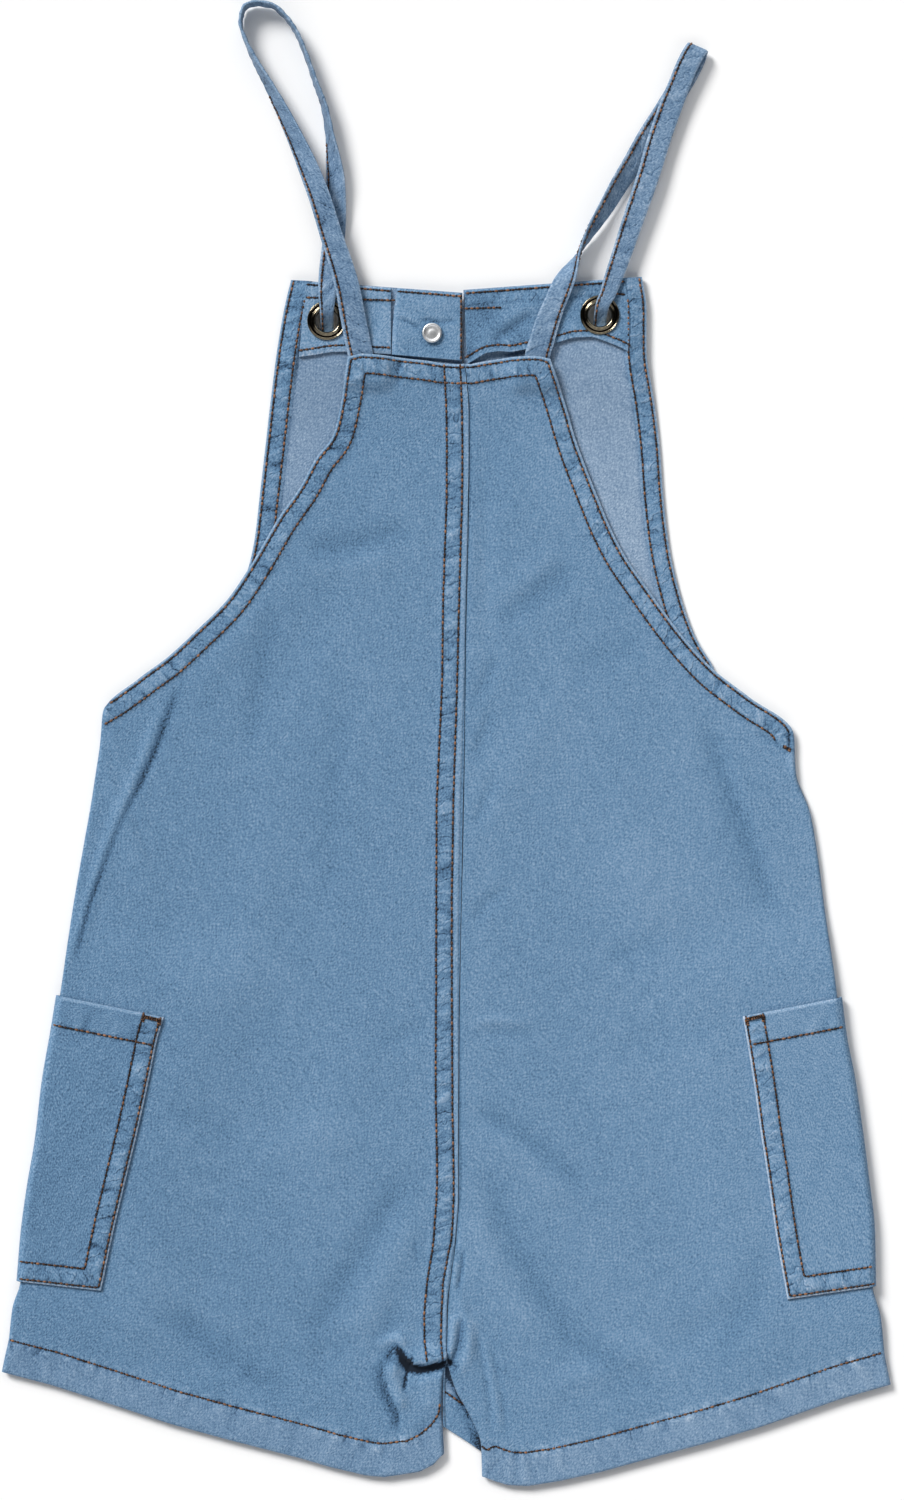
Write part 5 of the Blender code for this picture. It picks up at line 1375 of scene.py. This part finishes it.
for number, side in enumerate(("left", "right")):
    grid, flat = half_grid(
        BACK_SECTIONS[side], BACK_ROWS[side], BACK_DROOP[side], -1.0,
        lambda x, y: back_layers(side, x, y)[0],
        ((0, 1.2), (19, 1.4), (20.5, 0.8), (23, 0.8), (24, 1.2), (27, 1.2)), CROTCH_COLUMNS,
        SIDE_COLUMNS + PLEAT_COLUMNS[side], 46 if side == "left" else 52,
    )
    x, y = grid[..., 0], grid[..., 1]
    _, relief, wear_and_shade, gathers = back_layers(side, x, y)
    normals = surface_normals(grid)
    outer = grid + normals * (CLOTH / 2 + relief * flat)[..., None]
    inner = grid - normals * CLOTH / 2
    away = abs(near_path(x, y, BACK_RIM[side]["path"])[0])
    hem_away = abs(near_path(x, y, BACK_HEM[side]["path"])[0])
    inside = np.where((away < 9.0) | (hem_away < HEM_WIDTH + 0.8), 0.0, 1.0)
    greyer = 0.45 * (1.0 - ramp(hem_away, HEM_WIDTH - 1.0, HEM_WIDTH + 1.0))
    piece = shell(
        "back_" + side + "_cloth", outer, inner, denim,
        {"wear_and_shade": wear_and_shade * flat, "wrong": greyer, **gather_marks((gathers[0] * flat, *gathers[1:]))},
        {"wear_and_shade": 0.5 * wear_and_shade, "wrong": inside}, grid[..., :2],
    )
    rows_of_thread = [inset(BACK_RIM[side]["path"], row) for row in BACK_RIM[side]["rows"]]
    if side == "left":
        side_x, side_y = along_table(BACK_SECTIONS[side],
            np.arange(BACK_ROWS[side]["underarm"] - 1.0, 16.0, 0.2))[:, 2:].T
        rows_of_thread = [row[row[:, 0] > np.interp(-row[:, 1], -side_y, side_x)
            + 0.3] for row in rows_of_thread]
    hem_row, hem_end = inset(BACK_HEM[side]["path"], HEM_WIDTH), np.array(HEM_STITCH_ENDS[side])
    hem_row = np.vstack([hem_row[hem_row[:, 0] < hem_end[0, 0]],
        hem_end]) if side == "left" else np.vstack([hem_end, hem_row[hem_row[:, 0] > hem_end[-1, 0]]])
    rows_of_thread.append(hem_row)
    if side == "left":
        rows_of_thread += [seam_table[:, [column, 0]] for column in (1, 2)]
    else:
        rows_of_thread += [np.array(UNDERARM_TACK), np.array(UNDERARM_TACK) - (0.2, 0.7)]
    runs = [(lay_on(line, top_of(back_layers, side)), UP) for line in rows_of_thread]
    sewn = stitching("back_" + side + "_stitches", runs, 130 + number)
    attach(piece, "root")
    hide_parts("back_" + side)

# --- Side patch pockets -----------------------------------------------------------------------
# A square patch pocket sits over each side: half shows on the back, the rest goes round the
# side and lies under the front. Turned in and sewn with two rows, with a wide mouth hem.
POCKET_ROWS, POCKET_MOUTH_HEM, POCKET_LEVEL = (1.2, 8.5), 12.3, 6.0
POCKET_GAP, POCKET_BAND = WALL + SEAM_GAP, 10.4

for number, side in enumerate(("left", "right")):
    sections = POCKET_SECTIONS[side]
    ends = np.array(sections)
    tall = np.linalg.norm(ends[-1, :2] - ends[0, :2])
    near = np.array([0.0, 0.25, 0.6, 1.0, 1.6, 2.4])
    places = np.r_[near, np.linspace(3.0, tall - 3.0, 95), tall - near[::-1]] / tall
    inner_x, inner_y, outer_x, outer_y = along_table(sections, places * (len(sections) - 1)).T
    inner_edge, outer_edge = np.column_stack([inner_x, inner_y]), np.column_stack([outer_x, outer_y])
    out = (outer_edge - inner_edge) / np.linalg.norm(outer_edge - inner_edge, axis=1, keepdims=True)
    outer_edge = outer_edge - out * CLOTH / 2
    length = np.linalg.norm(outer_edge - inner_edge, axis=1)
    side_point = outer_edge - out * POCKET_LEVEL
    level = back_middle(side_point[:, 0], side_point[:, 1], BIB_DROOP_WIDTH) + POCKET_GAP
    under = CLOTH / 2 + 0.15
    room = (level - under) / 2
    # Columns lie close by the inner edge, evenly over the band and on to where the side turns
    on_band = np.r_[0.0, 0.25, 0.6, 1.0, 1.5, 2.1, np.linspace(2.8, POCKET_BAND, 12)]
    share = np.linspace(0.0, 1.0, 24)[1:-1]
    flat_to = length - room
    past_band = POCKET_BAND + (flat_to[:, None] - POCKET_BAND) * share
    columns = np.column_stack([np.tile(on_band, (len(places), 1)), past_band, flat_to])
    x = inner_edge[:, :1] + out[:, :1] * columns
    y = inner_edge[:, 1:] + out[:, 1:] * columns
    over = back_middle(x, y, 3.0 * BIB_DROOP_WIDTH) + POCKET_GAP
    near_side = ramp(columns, (length - 2.0 * POCKET_LEVEL)[:, None], (length - POCKET_LEVEL)[:, None])
    over = over + (level[:, None] - over) * near_side
    edge = np.vstack([inner_edge, inner_edge[-1] + np.outer(np.linspace(0.02, 1.0, 30),
        outer_edge[-1] - inner_edge[-1])])
    band = make_band(edge if side == "right" else edge[::-1], 140 + number, rows=POCKET_ROWS, width=9.4,
        rise=0.35, pitch=3.4)
    relief, wear_and_shade, away, gathers = band_relief(band, x, y)
    wear_and_shade = wear_and_shade + 0.4 * (1.0 - ramp(away, 0.6, 1.1))
    mouth = np.array([inner_edge[0], outer_edge[0]])
    mouth_away, mouth_along = near_path(x, y, mouth)
    mouth_away = abs(mouth_away)
    mouth_tucks = draw_tucks(path_length(mouth), 150 + number, 6.0, 2.0)
    tuck = tuck_height(mouth_tucks, mouth_along, mouth_away, 2.0, POCKET_MOUTH_HEM + 2.0)
    tuck = tuck * ramp(away, 8.0, 10.0)
    groove = bell(mouth_away - POCKET_MOUTH_HEM, 0.55) * ramp(away, 8.0, 9.0)
    hem_step = 1.0 - ramp(mouth_away, POCKET_MOUTH_HEM, POCKET_MOUTH_HEM + 0.9)
    relief = relief + 0.3 * hem_step * ramp(away, 8.8, 9.6)
    relief = relief + 0.2 * tuck - 0.24 * groove - 0.35 * (1.0 - ramp(mouth_away, 0.0, 0.9))
    # The groove at the mouth's stitching gets painted shade and the folded mouth edge is lighter with wear; the
    # cloth grows lighter towards the right as painted light, and the left pocket is a little darker
    wear_and_shade = wear_and_shade + 0.3 * tuck - 0.35 * groove + 0.4 * (1.0 - ramp(mouth_away, 0.8, 1.6)) + 0.0005 * x
    wear_and_shade = wear_and_shade + (0.0 if side == "right" else -0.07)
    drop = 0.45 * (1.0 - ramp(away, 0.0, 3.5))
    bend = np.radians(np.linspace(90.0, -90.0, 15))[1:-1]
    turned = room[:, None] * (1.0 - np.cos(bend))
    bend_x = outer_edge[:, :1] - out[:, :1] * turned
    bend_y = outer_edge[:, 1:] - out[:, 1:] * turned
    bend_z = under + room[:, None] * (1.0 + np.sin(bend))
    grid = np.stack([
        np.column_stack([x, bend_x, x[:, ::-1]]), np.column_stack([y, bend_y, y[:, ::-1]]),
        np.column_stack([over - drop, bend_z, np.full(x.shape, under)]),
    ], axis=2)
    plain = np.zeros(bend_x.shape)
    relief_all = np.column_stack([relief, plain, 0.1 * relief[:, ::-1] * (relief[:, ::-1] < 0)])
    wear_and_shade_all = np.column_stack([wear_and_shade, plain, wear_and_shade[:, ::-1]])
    normals = surface_normals(grid)
    away_from_body = np.sign(normals[:, :3, 2].mean())
    outer = grid + away_from_body * normals * (CLOTH / 2 + relief_all)[..., None]
    inner = grid - away_from_body * normals * CLOTH / 2
    width = np.cumsum(np.r_[0.0, np.linalg.norm(np.diff(grid[len(grid) // 2], axis=0), axis=1)])
    weave = np.stack(np.broadcast_arrays(width[None, :] + 300.0 * number, -(places * tall)[:, None]), axis=2)
    weave[..., 0] += 0.35 * weave[..., 1]
    gathers = join_gathers(gathers, (0.5 * ramp(mouth_away, 9.0, 11.5) * (1.0 - ramp(mouth_away, 13.0, 16.0)),
        mouth_along, mouth_away))
    mirrored = [np.column_stack([part, plain, part[:, ::-1]]) for part in gathers]
    marks = {"wear_and_shade": wear_and_shade_all, **gather_marks(mirrored)}
    piece = shell("pocket_" + side + "_cloth", outer, inner, denim, marks, marks, weave)
    shown = outer[:, : x.shape[1] + 6]
    below = outer[:, -x.shape[1] :]
    runs = []
    mouth_line = inset(mouth if side == "left" else mouth[::-1], POCKET_MOUTH_HEM)
    if len(mouth_line) < 2 or abs(near_path(mouth_line[:, 0], mouth_line[:, 1], edge)[0]).max() < 1.0:
        mouth_line = inset(mouth[::-1] if side == "left" else mouth, POCKET_MOUTH_HEM)
    mouth_line = mouth_line[abs(near_path(mouth_line[:, 0], mouth_line[:, 1], edge)[0]) > POCKET_ROWS[0] + 0.3]
    sides = np.column_stack([outer_x, outer_y])
    rows_of_thread = [inset(band["path"], row) for row in POCKET_ROWS] + [mouth_line]
    for line in rows_of_thread:
        line = line[abs(near_path(line[:, 0], line[:, 1], sides)[0]) > 0.5]
        runs.append((lay_between(line, shown), UP))
        runs.append((lay_between(line, below), DOWN))
    sewn = stitching("pocket_" + side + "_stitches", runs, 160 + number)
    # Bartack at the mouth: close stitches across the two rows of stitching and down both ends
    inward = (outer_edge[0] - inner_edge[0]) / length[0]
    footward = (inner_edge[-1] - inner_edge[0]) / tall
    corner, far_corner = inner_edge[0] + 0.9 * inward + 1.1 * footward, inner_edge[0] + 8.7 * inward + 0.9 * footward
    tack = []
    for k in (0.0, 0.75):
        line = [corner + (2.6 + k) * footward + k * inward, corner + k * (footward + inward),
            far_corner + k * (footward - inward), far_corner + (2.2 + k) * footward - k * inward]
        tack.append((lay_between(np.array(line), shown, raised=0.12), UP))
    tacks = stitching("pocket_" + side + "_bartack", tack, 170 + number, pitch=1.0)
    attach(piece, "root")
    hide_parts("pocket_" + side)

# --- Shoulder straps -------------------------------------------------------------------------
# Narrow straps of doubled denim, stitched along one edge. Each is sewn inside a top corner of
# the back, loops up over the bib and comes down through the bib's eyelet.
STRAP_THICK, STRAP_PLACES, STRAP_HALF = 1.15, 300, 4.7
# Where a strap stands on edge it is drawn this much narrower and this far lower than its solid
STANDING_SLIM, STANDING_SINK = 0.16, 0.7
# Places across a strap from its free edge at -1 to its stitched edge at 1
STRAP_RAIL = np.array([
    -1.0, -0.97, -0.91, -0.82, -0.7, -0.55, -0.36, -0.16, 0.05, 0.25, 0.44, 0.58, 0.7, 0.8, 0.89, 0.96, 1.0,
])
# The left strap's lift in its solid, and the lift it is drawn at, which leans the other way
SOLID_LIFT = (0, 50, 62, 72, 83, 96, 104, 112, 121, 128, 140, 152, 180)
DRAWN_LIFT = (0, 52, 67, 79, 87, 91, 93, 96, 104, 113, 133, 150, 180)
# Columns: x, y, z, width, bearing of the stitched edge in degrees, its lift in degrees.
STRAP_STATIONS = {
    "left": (
        (-34.5, 153.7, 4.7, 10.5, 189, 0),
        (-35.8, 161.7, 5.35, 10.5, 191, 0),
        (-37.1, 167.6, 5.9, 10.7, 191, 0),
        (-39.2, 178.5, 6.7, 10.5, 191, 0),
        (-41.3, 189.8, 7.8, 10.3, 193, 0),
        (-44.2, 200.3, 7.4, 9.9, 197, 2),
        (-48.0, 211.7, 7.4, 9.4, 198, 5),
        (-53.0, 228.0, 7.6, 9.2, 198, 10),
        (-56.8, 238.1, 7.2, 9.2, 202, 21),
        (-61.6, 249.5, 6.3, 9.2, 204, 37),
        (-67.7, 262.5, 5.5, 9.2, 206, 50),
        (-74.4, 275.5, 5.2, 9.2, 208, 62),
        (-80.3, 286.0, 5.3, 9.2, 208, 72),
        (-83.9, 293.6, 5.4, 9.2, 201, 83),
        (-86.3, 301.5, 5.4, 9.2, 182, 96),
        (-84.5, 308.3, 5.4, 9.2, 141, 102),
        (-79.5, 309.9, 5.4, 9.2, 94, 103),
        (-73.6, 309.1, 5.3, 9.2, 65, 104),
        (-67.7, 304.5, 5.3, 9.2, 43, 105),
        (-62.7, 297.3, 5.2, 9.2, 28, 108),
        (-58.5, 287.3, 5.0, 9.2, 21, 112),
        (-54.7, 276.3, 4.9, 9.2, 19, 115),
        (-51.1, 266.3, 4.5, 9.2, 15, 121),
        (-48.8, 254.1, 4.1, 9.2, 10, 128),
        (-47.4, 244.4, 3.4, 9.2, 7, 140),
        (-46.5, 235.2, 2.7, 9.2, 3, 152),
        (-46.5, 225.5, 2.0, 9.2, -1, 164),
        (-46.9, 215.9, 1.9, 9.2, -5, 173),
        (-48.4, 201.6, 3.5, 9.2, -6, 178),
        (-49.5, 191.9, 5.6, 8.4, -6, 180),
        (-50.0, 185.6, 6.55, 6.9, -3, 180),
        (-50.0, 182.3, 6.6, 6.1, -1, 180),
        (-50.1, 179.9, 5.9, 5.7, -1, 180),
        (-50.1, 178.1, 4.3, 5.5, 0, 180),
        (-50.1, 176.0, 2.4, 5.5, 0, 180),
        (-50.1, 174.1, 1.15, 5.5, 0, 180),
        (-50.1, 171.8, 0.6, 5.7, 0, 180),
        (-50.1, 168.4, 0.5, 6.3, 0, 180),
        (-50.1, 163.8, 0.5, 8.4, 0, 180),
        (-50.1, 149.9, 0.5, 9.2, 0, 180),
    ),
    "right": (
        (37.9, 153.3, 4.7, 10.7, -3, 0),
        (38.3, 161.7, 5.1, 10.7, -9, 0),
        (40.2, 168.4, 5.9, 10.5, -17, 0),
        (43.2, 178.1, 5.9, 9.9, -19, 0),
        (46.1, 185.2, 6.0, 9.2, -23, 4),
        (48.6, 191.1, 6.2, 9.2, -25, 14),
        (51.1, 196.1, 6.6, 9.2, -27, 36),
        (53.7, 201.2, 6.0, 9.2, -27, 64),
        (56.2, 206.2, 5.2, 9.2, -29, 91),
        (61.2, 215.0, 5.1, 9.2, -31, 118),
        (66.7, 223.8, 4.5, 9.2, -31, 133),
        (72.6, 233.9, 3.8, 9.2, -31, 144),
        (78.4, 243.2, 3.0, 9.2, -31, 154),
        (84.7, 254.1, 2.0, 9.2, -31, 164),
        (91.5, 264.6, 1.2, 9.2, -32, 171),
        (96.9, 273.4, 1.1, 9.2, -31, 175),
        (102.0, 282.2, 0.85, 9.2, -28, 177),
        (104.7, 288.1, 1.05, 9.2, -24, 178),
        (105.8, 291.8, 2.8, 9.2, -24, 179),
        (104.4, 290.0, 4.8, 9.2, -24, 180),
        (101.3, 284.3, 5.2, 9.2, -25, 180),
        (97.8, 275.9, 4.8, 9.2, -22, 180),
        (94.0, 266.3, 4.4, 9.7, -20, 180),
        (88.5, 250.3, 4.5, 9.7, -18, 180),
        (85.2, 239.0, 4.9, 9.4, -17, 180),
        (81.8, 228.9, 5.1, 9.2, -19, 180),
        (77.6, 216.7, 5.1, 8.8, -19, 180),
        (73.4, 204.1, 5.3, 8.2, -19, 178),
        (70.0, 194.4, 6.2, 7.6, -20, 176),
        (67.3, 186.9, 6.75, 6.5, -22, 177),
        (65.8, 184.1, 6.65, 5.9, -23, 180),
        (65.2, 182.0, 5.9, 5.7, -13, 180),
        (64.9, 180.2, 4.3, 5.5, -7, 180),
        (64.7, 178.1, 2.3, 5.5, -4, 180),
        (64.6, 176.2, 1.1, 5.5, -1, 180),
        (64.6, 173.9, 0.6, 5.7, 0, 180),
        (64.6, 170.5, 0.5, 6.3, 0, 180),
        (64.6, 165.5, 0.5, 8.4, 0, 180),
        (64.6, 151.6, 0.5, 9.2, 0, 180),
    ),
}

for number, side in enumerate(("left", "right")):
    table = np.array(STRAP_STATIONS[side])
    dense = np.linspace(0.0, len(table) - 1.0, 3000)
    fine = along_table(table, dense)
    travelled = np.r_[0.0, np.cumsum(np.linalg.norm(np.diff(fine[:, :3], axis=0), axis=1))]
    places = np.interp(np.linspace(0.0, travelled[-1], STRAP_PLACES), travelled, dense)
    x, y, z, width, bearing, lift = along_table(table, places).T
    stood = np.sin(np.radians(lift)) ** 4
    width, z = width * (1.0 - STANDING_SLIM * stood), z - STANDING_SINK * stood
    # Where it turns over, the left strap stands with its stitched edge down, unlike its solid;
    # the right one stands with that edge up, as its solid does
    if side == "left":
        lift = -np.interp(lift, SOLID_LIFT, DRAWN_LIFT)
    along = np.linspace(0.0, travelled[-1], STRAP_PLACES)[:, None]
    bearing, lift = np.radians(bearing), np.radians(lift)
    across = np.column_stack([np.cos(lift) * np.cos(bearing), np.cos(lift) * np.sin(bearing), np.sin(lift)])
    centre = np.column_stack([x, y, z])
    grid = centre[:, None] + across[:, None] * (STRAP_RAIL[None, :, None] * width[:, None, None] / 2)
    right_way = np.cross(np.gradient(centre, axis=0), across)
    right_way /= np.linalg.norm(right_way, axis=1, keepdims=True)
    normals = np.broadcast_to(right_way[:, None], grid.shape)
    from_edge = (1.0 - STRAP_RAIL)[None, :] * STRAP_HALF
    off_edge = (1.0 - abs(STRAP_RAIL))[None, :] * STRAP_HALF
    tucks = draw_tucks(float(along[-1, 0]), 180 + number, 3.4, 1.3)
    ripple = tuck_height(tucks, along + 0.0 * from_edge, from_edge + 0.0 * along, 0.2, 4.6)
    body = 0.5 * tuck_height(draw_tucks(float(along[-1, 0]), 190 + number, 9.0, 3.0), along + 0.4 * from_edge,
        from_edge + 0.0 * along, 0.3, 9.0)
    groove = bell(from_edge - 1.5, 0.5)
    relief = 0.2 * ripple + 0.14 * body - 0.16 * groove - 0.34 * (1.0 - ramp(off_edge, 0.0, 0.9))
    # The groove at the stitching gets painted shade; the folded edges are lighter with wear
    wear_and_shade = 0.4 * ripple + 0.32 * body - 0.3 * groove + 0.34 * (1.0 - ramp(from_edge, 0.5, 1.2))
    wear_and_shade = wear_and_shade + 0.3 * (1.0 - ramp(2.0 * STRAP_HALF - from_edge, 0.3, 0.9))
    squeezed = np.clip(1.0 - width / 9.0, 0.0, 1.0)[:, None]
    standing = np.sin(lift)[:, None] ** 4
    # Painted highlight along the free edge where the strap stands
    wear_and_shade = wear_and_shade + 0.12 * standing * ramp(from_edge, 6.0, 9.0)
    thick = STRAP_THICK / 2 * (1.0 + 0.5 * squeezed + 0.2 * standing * (side == "left"))
    scallop = 0.13 * standing * np.sin(along * 1.3 + 2.2 * np.sin(along * 0.23))
    outer = grid + normals * (thick + relief + scallop)[..., None]
    inner = grid - normals * (thick + relief + scallop)[..., None]
    weave = np.stack(np.broadcast_arrays(STRAP_HALF * STRAP_RAIL[None, :] + 40.0 + 60.0 * number,
        along + 500.0), axis=2)
    # The standing stretch gets painted shade, and the strap is darker where it narrows to the eyelet
    marks = {
        "wear_and_shade": wear_and_shade - (0.15 if side == "left" else 0.05) - 0.1 * squeezed - 0.12 * standing,
        "wrong": np.full(wear_and_shade.shape, 0.75),
        "tuck": np.full(wear_and_shade.shape, 0.8), "tuck_at": 0.75 * along + 0.7 * from_edge + 900.0 * (number + 1),
        "tuck_in": from_edge - 0.6 * along,
    }
    piece = shell("strap_" + side + "_cloth", outer, inner, denim, marks, marks, weave)
    runs = []
    for face in (1.0, -1.0):
        row = centre + across * (width * 0.34)[:, None] + face * right_way * (STRAP_THICK / 2 - 0.05)
        flat_part = (abs(np.sin(lift)) < 0.9) | (side == "right")
        for part in np.split(np.arange(STRAP_PLACES), np.flatnonzero(np.diff(flat_part)) + 1):
            part = part[(part > 2) & (part < STRAP_PLACES - 3)]
            if flat_part[part].all() and len(part) > 4:
                runs.append((row[part], face * right_way[part]))
    sewn = stitching("strap_" + side + "_stitches", runs, 200 + number)
    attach(piece, "root")
    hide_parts("strap_" + side)

# --- Eyelets, rivet and button ---------------------------------------------------------------
# Stamped brass eyelets, plated antique, rolled over on both sides of the bib, and the steel
# back of the bib button's rivet. Both are turned shapes; the button itself is under the bib.


def make_metal(name, colour, roughness, tarnish):
    """Plated sheet metal: a mirror dulled by fine wear, darker where the plating is tarnished."""
    look, tree, shader = new_material(name)
    place = add_node(tree, "ShaderNodeAttribute", {"attribute_name": "metal_place"}).outputs["Vector"]
    wear = add_node(tree, "ShaderNodeTexNoise", {"Scale": 0.9, "Detail": 3.0}, Vector=place).outputs["Fac"]
    shade = colour_steps(tree, wear, ((0.2, tarnish), (0.8, colour)))
    tree.links.new(shade, shader.inputs["Base Color"])
    shader.inputs["Metallic"].default_value = 1.0
    shader.inputs["Roughness"].default_value = roughness
    return look


def turned_metal(name, profile, centre, look, segments=72):
    """A profile of radius and height turned about the vertical, closed on its own axis or ring."""
    profile = np.array(profile)
    turn = np.linspace(0.0, 2.0 * math.pi, segments, endpoint=False)[None, :]
    radius, height = profile[:, :1], profile[:, 1:] + 0.0 * turn
    points = np.stack([centre[0] + radius * np.cos(turn), centre[1] + radius * np.sin(turn), height], axis=2)
    rows = len(profile)
    index = np.arange(rows * segments).reshape(rows, segments)
    if profile[0, 0] > 0.0:
        index = np.vstack([index, index[:1]])
    else:
        index[0], index[-1] = index[0, 0], index[-1, 0]
    nxt = np.roll(index, -1, axis=1)
    faces = np.stack([index[:-1], nxt[:-1], nxt[1:], index[1:]], axis=2).reshape(-1, 4).tolist()
    faces = [tuple(dict.fromkeys(face)) for face in faces]
    used = sorted({corner for face in faces for corner in face})
    order = {old: new for new, old in enumerate(used)}
    points = points.reshape(-1, 3)[used]
    faces = [[order[corner] for corner in face] for face in faces]
    piece = put_mesh(name, points, faces, look, [("metal_place", "FLOAT_VECTOR", points)])
    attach(piece, "root")
    return piece


brass = make_metal("antique_brass_plating", "#b0a48c", 0.1, "#6c6455")
steel = make_metal("pressed_steel_plating", "#f2f3f4", 0.42, "#d6d8da")
ring = BIB_LIFT + 2.75
EYELET_PROFILE = (
    (4.75, 1.7), (5.1, 1.3), (7.9, 1.35), (8.15, 1.7), (7.9, 1.95), (5.5, 2.0), (5.5, ring),
    (7.95, ring - 0.15),
    (8.2, ring + 0.02), (8.28, ring + 0.25), (8.22, ring + 0.46), (8.08, ring + 0.64), (7.9, ring + 0.7),
    (7.72, ring + 0.6), (7.6, ring + 0.42), (7.45, ring + 0.36), (6.5, ring + 0.36), (6.35, ring + 0.42),
    (6.2, ring + 0.6),
    (6.0, ring + 0.8), (5.75, ring + 0.9), (5.45, ring + 0.84), (5.2, ring + 0.66), (4.95, ring + 0.36),
    (4.8, ring), (4.75, 3.2),
)
for side in ("left", "right"):
    metal = turned_metal("eyelet_" + side + "_fine", EYELET_PROFILE[::-1], EYELETS[side], brass)
    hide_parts("eyelet_" + side)
cap = BIB_LIFT + 3.35
RIVET_PROFILE = (
    (0.0, 2.2), (1.4, 2.2), (1.4, cap), (3.8, cap), (4.1, cap + 0.15), (4.2, cap + 0.45), (4.1, cap + 0.8),
    (3.85, cap + 1.0), (3.5, cap + 1.05), (3.2, cap + 0.95), (2.95, cap + 0.78), (2.6, cap + 0.72),
    (1.6, cap + 0.74),
    (1.35, cap + 0.8), (0.9, cap + 0.86), (0.4, cap + 0.88), (0.0, cap + 0.88),
)
metal = turned_metal("rivet_back_fine", RIVET_PROFILE, RIVET, steel, segments=48)
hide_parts("rivet_back")
for node in bpy.data.objects:
    if node.name.startswith("bib_button"):
        for slot in node.material_slots:
            slot.material = steel

# --- Floor, light and camera ------------------------------------------------------------------
# A white sheet under a large soft lamp from the upper left, and a camera straight above.
# The floor lies a little under the plane that the solids rest on, in metres
FLOOR_HALF, FLOOR_LEVEL = 12.0, -0.00045
look, tree, shader = new_material("white_sheet")
shader.inputs["Base Color"].default_value = linear("#fbfbfb")
shader.inputs["Roughness"].default_value = 0.95
shader.inputs["Specular IOR Level"].default_value = 0.1
mesh = bpy.data.meshes.new("floor_sheet")
corners = [(x * FLOOR_HALF, y * FLOOR_HALF, FLOOR_LEVEL) for x, y in ((-1, -1), (1, -1), (1, 1), (-1, 1))]
mesh.from_pydata(corners, [], [(0, 1, 2, 3)])
mesh.materials.append(look)
floor = bpy.data.objects.new("floor_sheet", mesh)
bpy.context.scene.collection.objects.link(floor)

# The lamp's strength, the width of its disc and its warm white, then its tilt and bearing
light = bpy.data.lights.new("window_lamp", "SUN")
light.energy, light.angle, light.color = 3.1, math.radians(22.0), (1.0, 0.99, 0.975)
lamp = bpy.data.objects.new("window_lamp", light)
lamp.rotation_euler = (math.radians(52.0), 0.0, math.radians(222.0))
bpy.context.scene.collection.objects.link(lamp)
# The room has a bright window wall above and another below, and is dark between them with the
# camera, which is what the metal mirrors
world = bpy.data.worlds.new("studio_walls")
bpy.context.scene.world = world
world.use_nodes = True
tree = world.node_tree
direction = add_node(tree, "ShaderNodeTexCoord").outputs["Generated"]
upward = add_node(tree, "ShaderNodeSeparateXYZ", Vector=direction).outputs["Z"]
room = colour_steps(tree, upward, ((0.0, "#8a8c8f"), (0.25, "#6e7073"), (0.6, "#e2e3e5"), (0.95, "#ffffff"),
    (0.98, "#232426")))
sideways = add_node(tree, "ShaderNodeSeparateXYZ", Vector=direction).outputs["Y"]
sideways = add_node(tree, "ShaderNodeMath", {"operation": "ABSOLUTE"}, _0=sideways).outputs["Value"]
windows = colour_steps(tree, sideways, ((0.32, "#1c1d20"), (0.48, "#ffffff")))
room = add_node(tree, "ShaderNodeMix", {"data_type": "RGBA", "blend_type": "MULTIPLY", 0: 1.0}, _6=room,
    _7=windows).outputs[2]
tree.links.new(room, tree.nodes["Background"].inputs["Color"])
tree.nodes["Background"].inputs["Strength"].default_value = 1.36
bpy.context.scene.view_settings.view_transform = "Standard"

# The camera's height in metres gives each of the photo's pixels 0.42 mm of the floor
lens = bpy.data.cameras.new("straight_down")
lens.sensor_fit, lens.sensor_height, lens.lens = "VERTICAL", 36.0, 100.0
lens.clip_start, lens.clip_end = 0.05, 20.0
camera = bpy.data.objects.new("straight_down", lens)
camera.location = (0.0024, -0.0034, 1.753)
bpy.context.scene.collection.objects.link(camera)
bpy.context.scene.camera = camera
